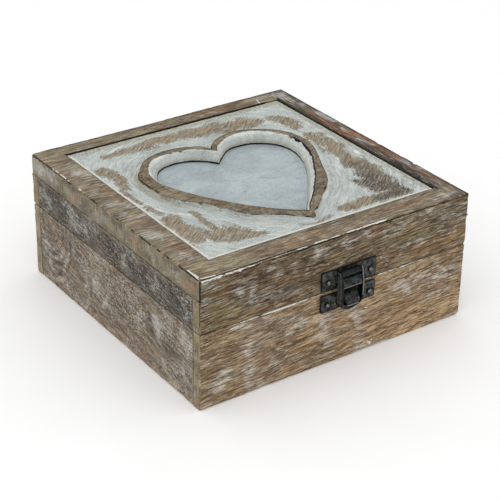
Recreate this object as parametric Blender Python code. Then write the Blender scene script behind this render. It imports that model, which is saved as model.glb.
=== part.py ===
"""Square wooden keepsake box: butt-jointed base, hinged lid with a carved heart panel, and a duck-bill latch.

Metres, +Z up. X runs along the front, Y from the front to the back, and the origin is the middle of
the underside. The lid turns on two butt hinges let into the back rims, and the hasp on a pin in the
upper latch plate.
"""

import math

import bmesh
import bpy
import numpy as np
from mathutils import Vector

# Boards
BOX_WIDTH = 0.180
BOX_DEPTH = 0.180
BASE_HEIGHT = 0.0462
LID_WALL_HEIGHT = 0.0185
TOP_THICKNESS = 0.0131
WALL_THICKNESS = 0.0065
BOTTOM_THICKNESS = 0.0050
SEAM_GAP = 0.0004  # between the base's rim and the lid's rim
JOINT_GAP = 0.0003  # between pieces that touch
WORN_ARRIS = 0.0010  # rounding of the outer edges

# Top frame and the panel let into it
FRAME_LEFT = 0.0162
FRAME_RIGHT = 0.0118
FRAME_FRONT = 0.0163
FRAME_BACK = 0.0122
PANEL_THICKNESS = 0.0078
PANEL_TIGHT_GAP = 0.0003  # at the left and the front
PANEL_LOOSE_GAP = 0.0009  # at the right and the back
PANEL_NARROW_BEVEL = 0.0008
PANEL_WIDE_BEVEL = 0.0024
PANEL_BEVEL_DROP = 0.0008

# Heart opening: two round lobes and two bowed sides that meet in the tip
HEART_CENTRE_X = 0.0027
HEART_CENTRE_Y = 0.0046
LOBE_RADIUS = 0.0264
LOBE_SPREAD = 0.0230  # from the heart's axis to a lobe's centre
LOBE_RISE = 0.0143
TIP_DROP = 0.0612
SIDE_SHOULDER = {"left": 0.0203, "right": 0.0215}  # how far each side runs on straight down from its lobe
SIDE_BOW = {"left": 0.0262, "right": 0.0264}
TIP_LEAN = {"left": math.radians(61), "right": math.radians(40)}  # from the axis, at the tip
OPENING_ROUND = 0.0014  # rounding of the opening's upper edge
OPENING_ROUND_STEPS = 3

# Raised ring round the opening, and the hollow carved outside it
RING_WIDTHS = [  # hand-cut and uneven: direction from the heart's centre in degrees, width along it
    (0, 0.0051),
    (45, 0.0058),
    (62, 0.0076),
    (86, 0.0084),
    (91, 0.0062),
    (98, 0.0078),
    (115, 0.0064),
    (145, 0.0072),
    (160, 0.0092),
    (184, 0.0112),
    (213, 0.0074),
    (236, 0.0100),
    (257, 0.0070),
    (268, 0.0088),
    (273, 0.0054),
    (307, 0.0090),
    (330, 0.0067),
]
RING_CLEFT_DEGREES = 91
RING_TIP_DEGREES = 268
RING_WALL_RUN = 0.0009
COVE_DEPTH = 0.0026
COVE_REACH = 0.0150
COVE_LOOPS = [0, 0.15, 0.35, 0.6, 1]  # where the loops lie between the ring and the bevel
HEART_SIDES = 96
CURVE_STEPS = 60

# Latch on the front
LATCH_X = 0.0052
HASP_X = 0.0047  # hasp, barrel and keeper sit a little left of the plates' middle
PLATE_WIDTH = 0.0372
PLATE_THICKNESS = 0.0008
PLATE_CORNER = 0.0007
UPPER_PLATE_RISE = 0.0009  # from the seam up to the plate
UPPER_PLATE_HEIGHT = 0.0119
LOWER_PLATE_DROP = 0.0014  # from the seam down to the plate
LOWER_PLATE_HEIGHT = 0.0107
LATCH_SCREW_SPREAD = 0.0143
UPPER_SCREW_RISE = 0.0062
LOWER_SCREW_DROP = 0.0075
BARREL_RISE = 0.0096
BARREL_RADIUS = 0.0018
BARREL_SINK = 0.0002  # how far the barrel is drawn into its plate
LATCH_PIN_RADIUS = 0.0007
HASP_WIDTH = 0.0156
HASP_LENGTH = 0.0226  # from the pin to the lower end
HASP_STRAP = 0.0011  # thickness of the strap that the hasp is bent from
HASP_CHIN = 0.0062  # height of the round lower end
HASP_EAR_RADIUS = 0.0015
HASP_FRONT = 0.0026  # how far the strap stands out in front of the pin
HASP_SWELL = 0.0065  # how far below the pin it gets there
HASP_CHIN_FRONT = 0.0014
HASP_CHIN_RISE = 0.0045
CROSS_SHEET_THICKNESS = 0.0009
CROSS_SHEET_TOP = 0.0024  # distances below the pin
CROSS_SHEET_BOTTOM = 0.0080
CROSS_SHEET_INSET = 0.0003  # its lower edge stays this far behind the strap's front
KEEPER_WIDTH = 0.0088
KEEPER_REACH = 0.0052
KEEPER_ROOT = 0.0004
KEEPER_LENGTH = 0.0074
KEEPER_SHEET = 0.0009
KEEPER_BASE = 0.0020
SCREW_HEAD_RADIUS = 0.0015
SCREW_HEAD_HEIGHT = 0.0009
SCREW_SHANK_RADIUS = 0.0007
SCREW_LENGTH = 0.0048
DOME = [(0, 1), (0.55, 0.85), (0.9, 0.45), (1, 0)]  # shares of the head's radius and height

# Hinges in the back rims
HINGE_SPACING = 0.1040
HINGE_WIDTH = 0.0220
HINGE_SET_IN = 0.0010  # from the back face to the hinge's axis
HINGE_STOP_CHAMFER = 0.0012
KNUCKLE_RADIUS = 0.0017
HINGE_PIN_RADIUS = 0.0006
LEAF_THICKNESS = 0.0008
LEAF_REACH = 0.0050
HINGE_SCREW_INSET = 0.0040  # from a leaf's end to its screw
HINGE_HEAD_RADIUS = 0.0010
HINGE_SHANK_RADIUS = 0.0005
HINGE_SCREW_LENGTH = 0.0055
HINGE_CLEARANCE = 0.0003

# Chips knocked out of the wood
BOTTOM_CHIP_X = 0.0230
BOTTOM_CHIP_SIZE = 0.0022
TOP_CHIP_Y = -0.0430
TOP_CHIP_SIZE = 0.0030
CHIP_DEPTH = 0.0008

ROUND_SIDES = 16
SMALL_SIDES = 12
CHIN_STEPS = 15
EAR_STEPS = 9
BEND_STEPS = 6
SMOOTH_ANGLE = math.radians(45)
ON_EDGE = 1e-6  # how near a point counts as lying on a face
CUT_OVERRUN = 0.0010  # how far a cutter passes the face it cuts

# Heights and faces that several pieces share
HALF_WIDTH = BOX_WIDTH / 2
HALF_DEPTH = BOX_DEPTH / 2
LID_RIM = BASE_HEIGHT + SEAM_GAP
SEAM = BASE_HEIGHT + SEAM_GAP / 2
TOP_UNDERSIDE = LID_RIM + LID_WALL_HEIGHT + JOINT_GAP
BOX_HEIGHT = TOP_UNDERSIDE + TOP_THICKNESS
HINGE_AXIS = Vector((0, HALF_DEPTH - HINGE_SET_IN, SEAM))
PLATE_FRONT = -HALF_DEPTH - JOINT_GAP - PLATE_THICKNESS
HASP_AXIS = Vector((HASP_X, PLATE_FRONT - BARREL_RADIUS + BARREL_SINK, SEAM + BARREL_RISE))

FACES = {"left": (0, 0), "right": (0, 1), "front": (1, 0), "back": (1, 1), "bottom": (2, 0), "top": (2, 1)}


def clear_scene():
    for thing in list(bpy.data.objects):
        bpy.data.objects.remove(thing, do_unlink=True)


def make_material(name, colour, roughness, metallic=0.0):
    material = bpy.data.materials.new(name)
    material.use_nodes = True
    shader = material.node_tree.nodes["Principled BSDF"]
    shader.inputs["Base Color"].default_value = (*colour, 1)
    shader.inputs["Roughness"].default_value = roughness
    shader.inputs["Metallic"].default_value = metallic
    material.diffuse_color = (*colour, 1)
    return material


def make_object(name, bm, place, material, parent=None, smooth_angle=None):
    """An object at the world point `place` whose mesh was drawn in world coordinates."""
    bmesh.ops.translate(bm, verts=bm.verts, vec=-Vector(place))
    bmesh.ops.recalc_face_normals(bm, faces=bm.faces)
    mesh = bpy.data.meshes.new(name)
    bm.to_mesh(mesh)
    bm.free()
    if smooth_angle:
        mesh.shade_smooth()
        mesh.set_sharp_from_angle(angle=smooth_angle)
    obj = bpy.data.objects.new(name, mesh)
    bpy.context.collection.objects.link(obj)
    if material:
        mesh.materials.append(material)
    obj.parent = parent
    obj.location = Vector(place) - (parent.matrix_world.translation if parent else Vector())
    return obj


def make_axis(name, place, parent=None):
    """An empty on a joint's axis, which carries what turns about it."""
    empty = bpy.data.objects.new(name, None)
    bpy.context.collection.objects.link(empty)
    empty.empty_display_size = 0.01
    empty.parent = parent
    empty.location = Vector(place) - (parent.matrix_world.translation if parent else Vector())
    bpy.context.view_layer.update()
    return empty


def cut(target, bm, operation="DIFFERENCE"):
    """Cuts the closed shapes in bm, drawn in world coordinates, out of the target, or joins them to it."""
    cutter = make_object(f"shape_for_{target.name}_{len(target.modifiers)}", bm, (0, 0, 0), None)
    cutter.hide_render = True
    cutter.display_type = "WIRE"
    boolean = target.modifiers.new("Cut" if operation == "DIFFERENCE" else "Join", "BOOLEAN")
    boolean.operation = operation
    boolean.solver = "EXACT"
    boolean.object = cutter


def add_box(bm, low, high):
    made = bmesh.ops.create_cube(bm, size=1)["verts"]
    low, high = Vector(low), Vector(high)
    bmesh.ops.scale(bm, verts=made, vec=high - low)
    bmesh.ops.translate(bm, verts=made, vec=(low + high) / 2)
    return made


def add_rod(bm, start, end, radius, end_radius=None, sides=ROUND_SIDES):
    """A closed cylinder or cone from start to end."""
    start, end = Vector(start), Vector(end)
    turn = (end - start).to_track_quat("Z", "Y").to_matrix().to_4x4()
    made = bmesh.ops.create_cone(
        bm,
        cap_ends=True,
        segments=sides,
        radius1=radius,
        radius2=radius if end_radius is None else end_radius,
        depth=(end - start).length,
    )["verts"]
    bmesh.ops.transform(bm, matrix=turn, verts=made)
    bmesh.ops.translate(bm, verts=made, vec=(start + end) / 2)
    return made


def add_prism(bm, outline, along, thickness):
    """A closed prism: the outline's points carried along a vector by a thickness."""
    face = bm.faces.new([bm.verts.new(p) for p in outline])
    swept = bmesh.ops.extrude_face_region(bm, geom=[face])["geom"]
    moved = [g for g in swept if isinstance(g, bmesh.types.BMVert)]
    bmesh.ops.translate(bm, verts=moved, vec=Vector(along).normalized() * thickness)
    return moved


def bevel_edges(bm, low, high, pairs, width, segments):
    """Bevels the box edges that lie on both faces of each pair."""
    corners = (low, high)
    found = []
    for pair in pairs:
        for edge in bm.edges:
            on_both = all(
                abs(v.co[axis] - corners[side][axis]) < ON_EDGE
                for axis, side in (FACES[face] for face in pair)
                for v in edge.verts
            )
            if on_both:
                found.append(edge)
    if found:
        bmesh.ops.bevel(bm, geom=found, offset=width, segments=segments, profile=0.5, affect="EDGES")


def make_board(name, low, high, material, worn=(), chamfered=(), parent=None):
    """A board between two corners. Its worn edges are rounded and its chamfered ones cut straight."""
    bm = bmesh.new()
    add_box(bm, low, high)
    bevel_edges(bm, low, high, chamfered, HINGE_STOP_CHAMFER, 1)
    bevel_edges(bm, low, high, worn, WORN_ARRIS, 2)
    centre = (Vector(low) + Vector(high)) / 2
    return make_object(name, bm, centre, material, parent)


# Base and lid walls: the front and back boards run the full width and the sides butt between them


def make_walls(prefix, floor, ceiling, material, outer_edge, rim_edge, parent=None):
    """Four walls from floor to ceiling. outer_edge is the worn end, rim_edge the end at the seam."""
    inner_y = HALF_DEPTH - WALL_THICKNESS
    edges = [outer_edge] if outer_edge else []
    front = make_board(
        f"{prefix}_front_board",
        (-HALF_WIDTH, -HALF_DEPTH, floor),
        (HALF_WIDTH, -inner_y, ceiling),
        material,
        worn=[("front", "left"), ("front", "right")] + [("front", e) for e in edges],
        parent=parent,
    )
    back = make_board(
        f"{prefix}_back_board",
        (-HALF_WIDTH, inner_y, floor),
        (HALF_WIDTH, HALF_DEPTH, ceiling),
        material,
        worn=[("back", "left"), ("back", "right")] + [("back", e) for e in edges],
        chamfered=[("back", rim_edge)],
        parent=parent,
    )
    for side, sign in (("left", -1), ("right", 1)):
        near, far = sorted((sign * HALF_WIDTH, sign * (HALF_WIDTH - WALL_THICKNESS)))
        make_board(
            f"{prefix}_{side}_board",
            (near, -inner_y + JOINT_GAP, floor),
            (far, inner_y - JOINT_GAP, ceiling),
            material,
            worn=[(side, e) for e in edges],
            parent=parent,
        )
    return front, back


def make_bottom(material):
    inset_x = HALF_WIDTH - WALL_THICKNESS - JOINT_GAP
    inset_y = HALF_DEPTH - WALL_THICKNESS - JOINT_GAP
    make_board("base_bottom_board", (-inset_x, -inset_y, 0), (inset_x, inset_y, BOTTOM_THICKNESS), material)


def chip_bottom_edge(board):
    """A splinter gone from the front board's lower edge."""
    bm = bmesh.new()
    half = BOTTOM_CHIP_SIZE / 2
    depth = -HALF_DEPTH + CHIP_DEPTH
    start = Vector((BOTTOM_CHIP_X - half, depth, -CUT_OVERRUN))
    outline = [
        start,
        start + Vector((BOTTOM_CHIP_SIZE, 0, 0)),
        start + Vector((half, 0, CUT_OVERRUN + BOTTOM_CHIP_SIZE)),
    ]
    add_prism(bm, outline, (0, -1, 0), CHIP_DEPTH + CUT_OVERRUN)
    cut(board, bm)


def chip_top_edge(board):
    """A notch in the top frame's right edge."""
    bm = bmesh.new()
    half = TOP_CHIP_SIZE / 2
    tip = Vector((HALF_WIDTH - CHIP_DEPTH - WORN_ARRIS, TOP_CHIP_Y, BOX_HEIGHT - TOP_CHIP_SIZE))
    out = Vector((CHIP_DEPTH + WORN_ARRIS + CUT_OVERRUN, 0, 0))
    outline = [tip, tip + out + Vector((0, -half, 0)), tip + out + Vector((0, half, 0))]
    add_prism(bm, outline, (0, 0, 1), TOP_CHIP_SIZE + CUT_OVERRUN)
    cut(board, bm)


# Lid top: one board with a window, the carved panel in it and a thin board behind the heart


def window_corners():
    low = (-HALF_WIDTH + FRAME_LEFT, -HALF_DEPTH + FRAME_FRONT)
    high = (HALF_WIDTH - FRAME_RIGHT, HALF_DEPTH - FRAME_BACK)
    return low, high


def panel_corners():
    low, high = window_corners()
    return (
        (low[0] + PANEL_TIGHT_GAP, low[1] + PANEL_TIGHT_GAP),
        (high[0] - PANEL_LOOSE_GAP, high[1] - PANEL_LOOSE_GAP),
    )


def make_top_frame(material, parent):
    low = (-HALF_WIDTH, -HALF_DEPTH, TOP_UNDERSIDE)
    high = (HALF_WIDTH, HALF_DEPTH, BOX_HEIGHT)
    outer = ["left", "right", "front", "back"]
    corners = [("left", "front"), ("left", "back"), ("right", "front"), ("right", "back")]
    worn = [(face, "top") for face in outer] + corners
    frame = make_board("lid_top_frame", low, high, material, worn=worn, parent=parent)
    window_low, window_high = window_corners()
    bm = bmesh.new()
    add_box(bm, (*window_low, TOP_UNDERSIDE - CUT_OVERRUN), (*window_high, BOX_HEIGHT + CUT_OVERRUN))
    cut(frame, bm)
    chip_top_edge(frame)


def make_backing(material, parent):
    low, high = panel_corners()
    top = BOX_HEIGHT - PANEL_THICKNESS - JOINT_GAP
    make_board("heart_backing_board", (*low, TOP_UNDERSIDE), (*high, top), material, parent=parent)


def heart_half(side):
    """Points from the cleft to the tip: an arc round the lobe, then a cubic curve down the bowed side."""
    start = math.acos(-LOBE_SPREAD / LOBE_RADIUS)
    turn = np.linspace(start, 0, CURVE_STEPS)
    centre = [LOBE_SPREAD, LOBE_RISE]
    lobe = centre + LOBE_RADIUS * np.stack([np.cos(turn), np.sin(turn)], axis=1)
    tip = np.array([0, -TIP_DROP])
    lean = TIP_LEAN[side]
    ends = [
        lobe[-1],
        lobe[-1] - [0, SIDE_SHOULDER[side]],
        tip + SIDE_BOW[side] * np.array([math.sin(lean), math.cos(lean)]),
        tip,
    ]
    t = np.linspace(0, 1, CURVE_STEPS)[1:, None]
    weights = [(1 - t) ** 3, 3 * t * (1 - t) ** 2, 3 * t**2 * (1 - t), t**3]
    flank = sum(w * p for w, p in zip(weights, ends))
    half = np.concatenate([lobe, flank])
    if side == "left":
        half[:, 0] *= -1
    return half


def heart_radius(angles):
    """Distance from the heart's centre to its outline in each direction."""
    outline = np.concatenate([heart_half("right"), heart_half("left")])
    found = np.arctan2(outline[:, 1], outline[:, 0])
    order = np.argsort(found)
    radius = np.hypot(outline[:, 0], outline[:, 1])
    return np.interp(angles, found[order], radius[order], period=2 * math.pi)


def ring_width(angles):
    directions = [math.radians(a) for a, _ in RING_WIDTHS]
    return np.interp(angles, directions, [w for _, w in RING_WIDTHS], period=2 * math.pi)


def panel_edge(angles):
    """Points where rays from the heart's centre meet the panel's outer edge."""
    low, high = panel_corners()
    along_x, along_y = np.cos(angles), np.sin(angles)
    reach_x = np.where(along_x > 0, high[0] - HEART_CENTRE_X, low[0] - HEART_CENTRE_X)
    reach_y = np.where(along_y > 0, high[1] - HEART_CENTRE_Y, low[1] - HEART_CENTRE_Y)
    with np.errstate(divide="ignore"):
        reach = np.minimum(np.abs(reach_x / along_x), np.abs(reach_y / along_y))
    return np.stack([along_x * reach, along_y * reach], axis=1)


def carving_angles():
    """Even steps round the heart, with the clefts, the tips and the panel's corners among them."""
    low, high = panel_corners()
    corners = [
        math.atan2(y - HEART_CENTRE_Y, x - HEART_CENTRE_X)
        for x in (low[0], high[0])
        for y in (low[1], high[1])
    ]
    ring_ends = [math.radians(RING_CLEFT_DEGREES), math.radians(RING_TIP_DEGREES - 360)]
    exact = np.array(corners + [math.pi / 2, -math.pi / 2] + ring_ends)
    even = np.linspace(-math.pi, math.pi, HEART_SIDES, endpoint=False)
    spacing = 2 * math.pi / HEART_SIDES
    apart = np.abs((even[:, None] - exact + math.pi) % (2 * math.pi) - math.pi).min(axis=1)
    return np.sort(np.concatenate([even[apart > spacing / 2], exact]))


def make_heart_panel(material, parent):
    """Loops of points from the opening's lower edge, over ring and hollow, to the panel's outer edge."""
    angles = carving_angles()
    direction = np.stack([np.cos(angles), np.sin(angles)], axis=1)
    inner = direction * heart_radius(angles)[:, None]
    outer = direction * (heart_radius(angles) + ring_width(angles))[:, None]
    edge = panel_edge(angles)
    low, high = panel_corners()
    bevel_low = np.array(low) + PANEL_NARROW_BEVEL - [HEART_CENTRE_X, HEART_CENTRE_Y]
    bevel_high = np.array(high) - PANEL_WIDE_BEVEL - [HEART_CENTRE_X, HEART_CENTRE_Y]
    field_edge = np.clip(edge, bevel_low, bevel_high)

    def cove(share):
        points = outer + share * (field_edge - outer)
        away = np.clip(np.hypot(*(points - outer).T) / COVE_REACH, 0, 1)
        return points, -COVE_DEPTH * (1 - away**2 * (3 - 2 * away))

    def rounding(turn):
        return inner + direction * OPENING_ROUND * (1 - math.cos(turn)), -OPENING_ROUND * (1 - math.sin(turn))

    bottom = -PANEL_THICKNESS
    loops = [
        (inner, bottom),
        *(rounding(turn) for turn in np.linspace(0, math.pi / 2, OPENING_ROUND_STEPS)),
        (outer - direction * RING_WALL_RUN, 0),
        *(cove(share) for share in COVE_LOOPS),
        (edge, cove(1)[1] - PANEL_BEVEL_DROP),
        (edge, bottom),
    ]
    count = len(angles)
    levels = [np.broadcast_to(z, count)[:, None] for _, z in loops]
    points = np.concatenate([np.hstack([xy, z]) for (xy, _), z in zip(loops, levels)])
    points += [HEART_CENTRE_X, HEART_CENTRE_Y, BOX_HEIGHT]
    bm = bmesh.new()
    verts = [bm.verts.new(p) for p in points]
    for loop in range(len(loops)):
        here, there = loop * count, (loop + 1) % len(loops) * count
        for step in range(count):
            after = (step + 1) % count
            ring = (here + step, here + after, there + after, there + step)
            bm.faces.new([verts[n] for n in ring])
    centre = ((low[0] + high[0]) / 2, (low[1] + high[1]) / 2, BOX_HEIGHT - PANEL_THICKNESS / 2)
    make_object("heart_panel", bm, centre, material, parent)


# Screws and pins


def make_screw(
    name, head_face, inward, head_radius, head_height, shank_radius, length, domed, material, parent
):
    """A turned screw. head_face is where its head meets its seat, inward the way it is driven."""
    inward = Vector(inward)
    if domed:
        profile = [(head_radius * out, -head_height * up) for out, up in DOME]
        profile.append((shank_radius, 0))
    else:
        profile = [(0, 0), (head_radius, 0), (shank_radius, head_height)]
    profile += [(shank_radius, length - shank_radius * 2), (0, length)]
    bm = bmesh.new()
    verts = [bm.verts.new((radius, 0, depth)) for radius, depth in profile]
    edges = [bm.edges.new(pair) for pair in zip(verts, verts[1:])]
    bmesh.ops.spin(
        bm,
        geom=verts + edges,
        axis=(0, 0, 1),
        cent=(0, 0, 0),
        angle=2 * math.pi,
        steps=SMALL_SIDES,
        use_merge=True,
    )
    bmesh.ops.remove_doubles(bm, verts=bm.verts, dist=ON_EDGE)
    turn = inward.to_track_quat("Z", "Y").to_matrix().to_4x4()
    bmesh.ops.transform(bm, matrix=turn, verts=bm.verts)
    bmesh.ops.translate(bm, verts=bm.verts, vec=Vector(head_face))
    return make_object(name, bm, head_face, material, parent, SMOOTH_ANGLE)


def make_pin(name, centre, length, radius, material, parent):
    bm = bmesh.new()
    half = Vector((length / 2, 0, 0))
    add_rod(bm, Vector(centre) - half, Vector(centre) + half, radius, sides=SMALL_SIDES)
    return make_object(name, bm, centre, material, parent, SMOOTH_ANGLE)


# Latch: two plates, a barrel rolled on the upper one, the hasp on its pin, and the keeper's bill


def latch_screw_points():
    """Seats of the four screws on the plates' front faces, with the body each belongs to."""
    rows = (("lid", SEAM + UPPER_SCREW_RISE), ("base", SEAM - LOWER_SCREW_DROP))
    return [
        (body, Vector((LATCH_X + sign * LATCH_SCREW_SPREAD, PLATE_FRONT, height)))
        for body, height in rows
        for sign in (-1, 1)
    ]


def drill_latch_holes(board, body):
    bm = bmesh.new()
    for owner, point in latch_screw_points():
        if owner == body:
            seat = Vector((point.x, -HALF_DEPTH - CUT_OVERRUN, point.z))
            end = Vector((point.x, PLATE_FRONT + SCREW_LENGTH + JOINT_GAP, point.z))
            add_rod(bm, seat, end, SCREW_SHANK_RADIUS + JOINT_GAP, sides=SMALL_SIDES)
    cut(board, bm)


def make_latch_plate(name, bottom, height, body, joined, material, parent):
    """A thin plate with round corners and two screw holes. joined draws what stands out of its face."""
    low = Vector((LATCH_X - PLATE_WIDTH / 2, PLATE_FRONT, bottom))
    high = Vector((LATCH_X + PLATE_WIDTH / 2, PLATE_FRONT + PLATE_THICKNESS, bottom + height))
    bm = bmesh.new()
    add_box(bm, low, high)
    corners = [(side, end) for side in ("left", "right") for end in ("bottom", "top")]
    bevel_edges(bm, low, high, corners, PLATE_CORNER, 2)
    plate = make_object(name, bm, (low + high) / 2, material, parent)
    bm = bmesh.new()
    joined(bm)
    cut(plate, bm, "UNION")
    bm = bmesh.new()
    for owner, point in latch_screw_points():
        if owner == body:
            half = Vector((0, PLATE_THICKNESS + CUT_OVERRUN, 0))
            add_rod(bm, point - half, point + half, SCREW_SHANK_RADIUS + JOINT_GAP, sides=SMALL_SIDES)
    if body == "lid":
        half = Vector((barrel_half_length() + CUT_OVERRUN, 0, 0))
        add_rod(bm, HASP_AXIS - half, HASP_AXIS + half, LATCH_PIN_RADIUS + JOINT_GAP, sides=SMALL_SIDES)
    cut(plate, bm)
    return plate


def barrel_half_length():
    return HASP_WIDTH / 2 - HASP_STRAP - JOINT_GAP


def draw_barrel(bm):
    """The rolled barrel, sunk a little into the plate so that the two are one piece."""
    half = Vector((barrel_half_length(), 0, 0))
    add_rod(bm, HASP_AXIS - half, HASP_AXIS + half, BARREL_RADIUS)


def bend(start, pull, end, steps=BEND_STEPS):
    """Points on the curve from start to end that leans towards pull."""
    t = np.linspace(0, 1, steps)[:, None]
    return (1 - t) ** 2 * np.array(start) + 2 * t * (1 - t) * np.array(pull) + t**2 * np.array(end)


def draw_bill(bm):
    """The keeper's bill: a curved sheet that leaves the plate, bends down and ends in a lip."""
    top = SEAM - LOWER_PLATE_DROP - KEEPER_ROOT
    root = PLATE_FRONT + PLATE_THICKNESS / 2
    front = PLATE_FRONT - KEEPER_REACH
    lip = top - KEEPER_LENGTH
    over = bend((root, top), (front, top - KEEPER_SHEET), (front, lip))
    back = front + KEEPER_SHEET
    foot = top - KEEPER_BASE
    under = bend((back, lip), (back, foot), (root, foot))
    start_x = HASP_X - KEEPER_WIDTH / 2
    outline = [(start_x, y, z) for y, z in np.concatenate([over, under])]
    add_prism(bm, outline, (1, 0, 0), KEEPER_WIDTH)


def stirrup_side(inset, turns):
    """The hasp's outline from the front: down one side, round the chin and up the other."""
    half = HASP_WIDTH / 2 - inset
    rise = HASP_CHIN - inset
    bottom = -HASP_LENGTH + inset
    top = HASP_EAR_RADIUS + CUT_OVERRUN
    chin = [(half * math.cos(turn), bottom + rise * (1 - math.sin(turn))) for turn in turns]
    return [(half, top), *chin, (-half, top)]


def make_hasp(material, parent):
    """A strap bent into a stirrup with an ear on each end of the pin, and a sheet across below the barrel."""
    turns = np.linspace(0, math.pi, CHIN_STEPS)
    rim = stirrup_side(0, turns) + stirrup_side(HASP_STRAP, turns)[::-1]
    far_back = HASP_EAR_RADIUS + CUT_OVERRUN
    bm = bmesh.new()
    outline = [HASP_AXIS + Vector((x, far_back, z)) for x, z in rim]
    add_prism(bm, outline, (0, -1, 0), far_back + HASP_FRONT + CUT_OVERRUN)
    hasp = make_object("latch_hasp", bm, HASP_AXIS, material, parent, SMOOTH_ANGLE)

    back = HASP_EAR_RADIUS - JOINT_GAP / 2
    turns = np.linspace(math.pi, 0, EAR_STEPS)
    ear = [(HASP_EAR_RADIUS * math.cos(turn), HASP_EAR_RADIUS * math.sin(turn)) for turn in turns]
    swell = bend((-HASP_FRONT, -HASP_SWELL), (-HASP_FRONT, -HASP_SWELL / 2), ear[0])[:-1]
    chin = bend(
        (-HASP_CHIN_FRONT, -HASP_LENGTH - CUT_OVERRUN),
        (-HASP_FRONT, -HASP_LENGTH + HASP_CHIN_RISE / 2),
        (-HASP_FRONT, -HASP_LENGTH + HASP_CHIN_RISE),
    )
    side = [*chin, *swell, *ear[:-1], (back, 0), (back, -HASP_LENGTH - CUT_OVERRUN)]
    reach = HASP_WIDTH / 2 + CUT_OVERRUN
    bm = bmesh.new()
    add_prism(bm, [HASP_AXIS + Vector((-reach, y, z)) for y, z in side], (1, 0, 0), 2 * reach)
    cut(hasp, bm, "INTERSECT")

    inner = HASP_WIDTH / 2 - HASP_STRAP / 2
    slope_top = (-BARREL_RADIUS, -CROSS_SHEET_TOP)
    slope_bottom = (-HASP_FRONT + CROSS_SHEET_INSET, -CROSS_SHEET_BOTTOM)
    sheet = [slope_top, slope_bottom]
    sheet += [(y + CROSS_SHEET_THICKNESS, z) for y, z in reversed(sheet)]
    bm = bmesh.new()
    add_prism(bm, [HASP_AXIS + Vector((-inner, y, z)) for y, z in sheet], (1, 0, 0), 2 * inner)
    cut(hasp, bm, "UNION")

    bm = bmesh.new()
    half_pin = Vector((reach, 0, 0))
    add_rod(bm, HASP_AXIS - half_pin, HASP_AXIS + half_pin, LATCH_PIN_RADIUS + JOINT_GAP, sides=SMALL_SIDES)
    cut(hasp, bm)


def make_latch(material, lid, hasp_axis):
    upper = SEAM + UPPER_PLATE_RISE
    lower = SEAM - LOWER_PLATE_DROP - LOWER_PLATE_HEIGHT
    make_latch_plate("latch_upper_plate", upper, UPPER_PLATE_HEIGHT, "lid", draw_barrel, material, lid)
    make_latch_plate("latch_lower_plate", lower, LOWER_PLATE_HEIGHT, "base", draw_bill, material, None)
    make_hasp(material, hasp_axis)
    make_pin("latch_pin", HASP_AXIS, HASP_WIDTH, LATCH_PIN_RADIUS, material, lid)
    for number, (body, point) in enumerate(latch_screw_points(), 1):
        make_screw(
            f"latch_screw_{number}",
            point - Vector((0, JOINT_GAP, 0)),
            (0, 1, 0),
            SCREW_HEAD_RADIUS,
            SCREW_HEAD_HEIGHT,
            SCREW_SHANK_RADIUS,
            SCREW_LENGTH,
            True,
            material,
            lid if body == "lid" else None,
        )


# Hinges: leaves let into the rims, knuckles in a round pocket that opens on the back face


def hinge_screw_points(hinge_x, upward):
    """Countersunk screws' seats on the leaf faces that meet at the seam."""
    middle = HINGE_AXIS.y - (LEAF_REACH + KNUCKLE_RADIUS + HINGE_CLEARANCE) / 2
    spread = HINGE_WIDTH / 2 - HINGE_SCREW_INSET
    height = SEAM + (1 if upward else -1) * JOINT_GAP / 2
    return [Vector((hinge_x + sign * spread, middle, height)) for sign in (-1, 1)]


def let_in_hinges(board, upward):
    """Pockets for knuckles and leaves, and the screws' holes, in a back board's rim."""
    way = 1 if upward else -1
    bm = bmesh.new()
    for hinge_x in (-HINGE_SPACING / 2, HINGE_SPACING / 2):
        half = Vector((HINGE_WIDTH / 2 + HINGE_CLEARANCE, 0, 0))
        axis = HINGE_AXIS + Vector((hinge_x, 0, 0))
        add_rod(bm, axis - half, axis + half, KNUCKLE_RADIUS + HINGE_CLEARANCE)
    cut(board, bm)
    bm = bmesh.new()
    for hinge_x in (-HINGE_SPACING / 2, HINGE_SPACING / 2):
        depth = JOINT_GAP / 2 + LEAF_THICKNESS + HINGE_CLEARANCE
        low_z, high_z = sorted((SEAM - way * CUT_OVERRUN, SEAM + way * depth))
        half = HINGE_WIDTH / 2 + HINGE_CLEARANCE
        add_box(
            bm,
            (hinge_x - half, HINGE_AXIS.y - LEAF_REACH - HINGE_CLEARANCE, low_z),
            (hinge_x + half, HINGE_AXIS.y, high_z),
        )
    cut(board, bm)
    bm = bmesh.new()
    for hinge_x in (-HINGE_SPACING / 2, HINGE_SPACING / 2):
        for seat in hinge_screw_points(hinge_x, upward):
            end = seat + Vector((0, 0, way * (HINGE_SCREW_LENGTH + JOINT_GAP)))
            add_rod(bm, seat, end, HINGE_SHANK_RADIUS + HINGE_CLEARANCE, sides=SMALL_SIDES)
    cut(board, bm)


def leaf_outline(hinge_x, tabs):
    """The leaf seen from above, going round it: a strip with a tab at each of its own knuckles."""
    half = HINGE_WIDTH / 2
    back_y = HINGE_AXIS.y - LEAF_REACH
    clear_y = HINGE_AXIS.y - KNUCKLE_RADIUS - HINGE_CLEARANCE
    left_end, right_end = hinge_x - half, hinge_x + half
    outline = [(left_end, clear_y), (left_end, back_y), (right_end, back_y), (right_end, clear_y)]
    for left, right in reversed(tabs):
        outline += [(right, clear_y), (right, HINGE_AXIS.y), (left, HINGE_AXIS.y), (left, clear_y)]
    return outline


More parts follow.
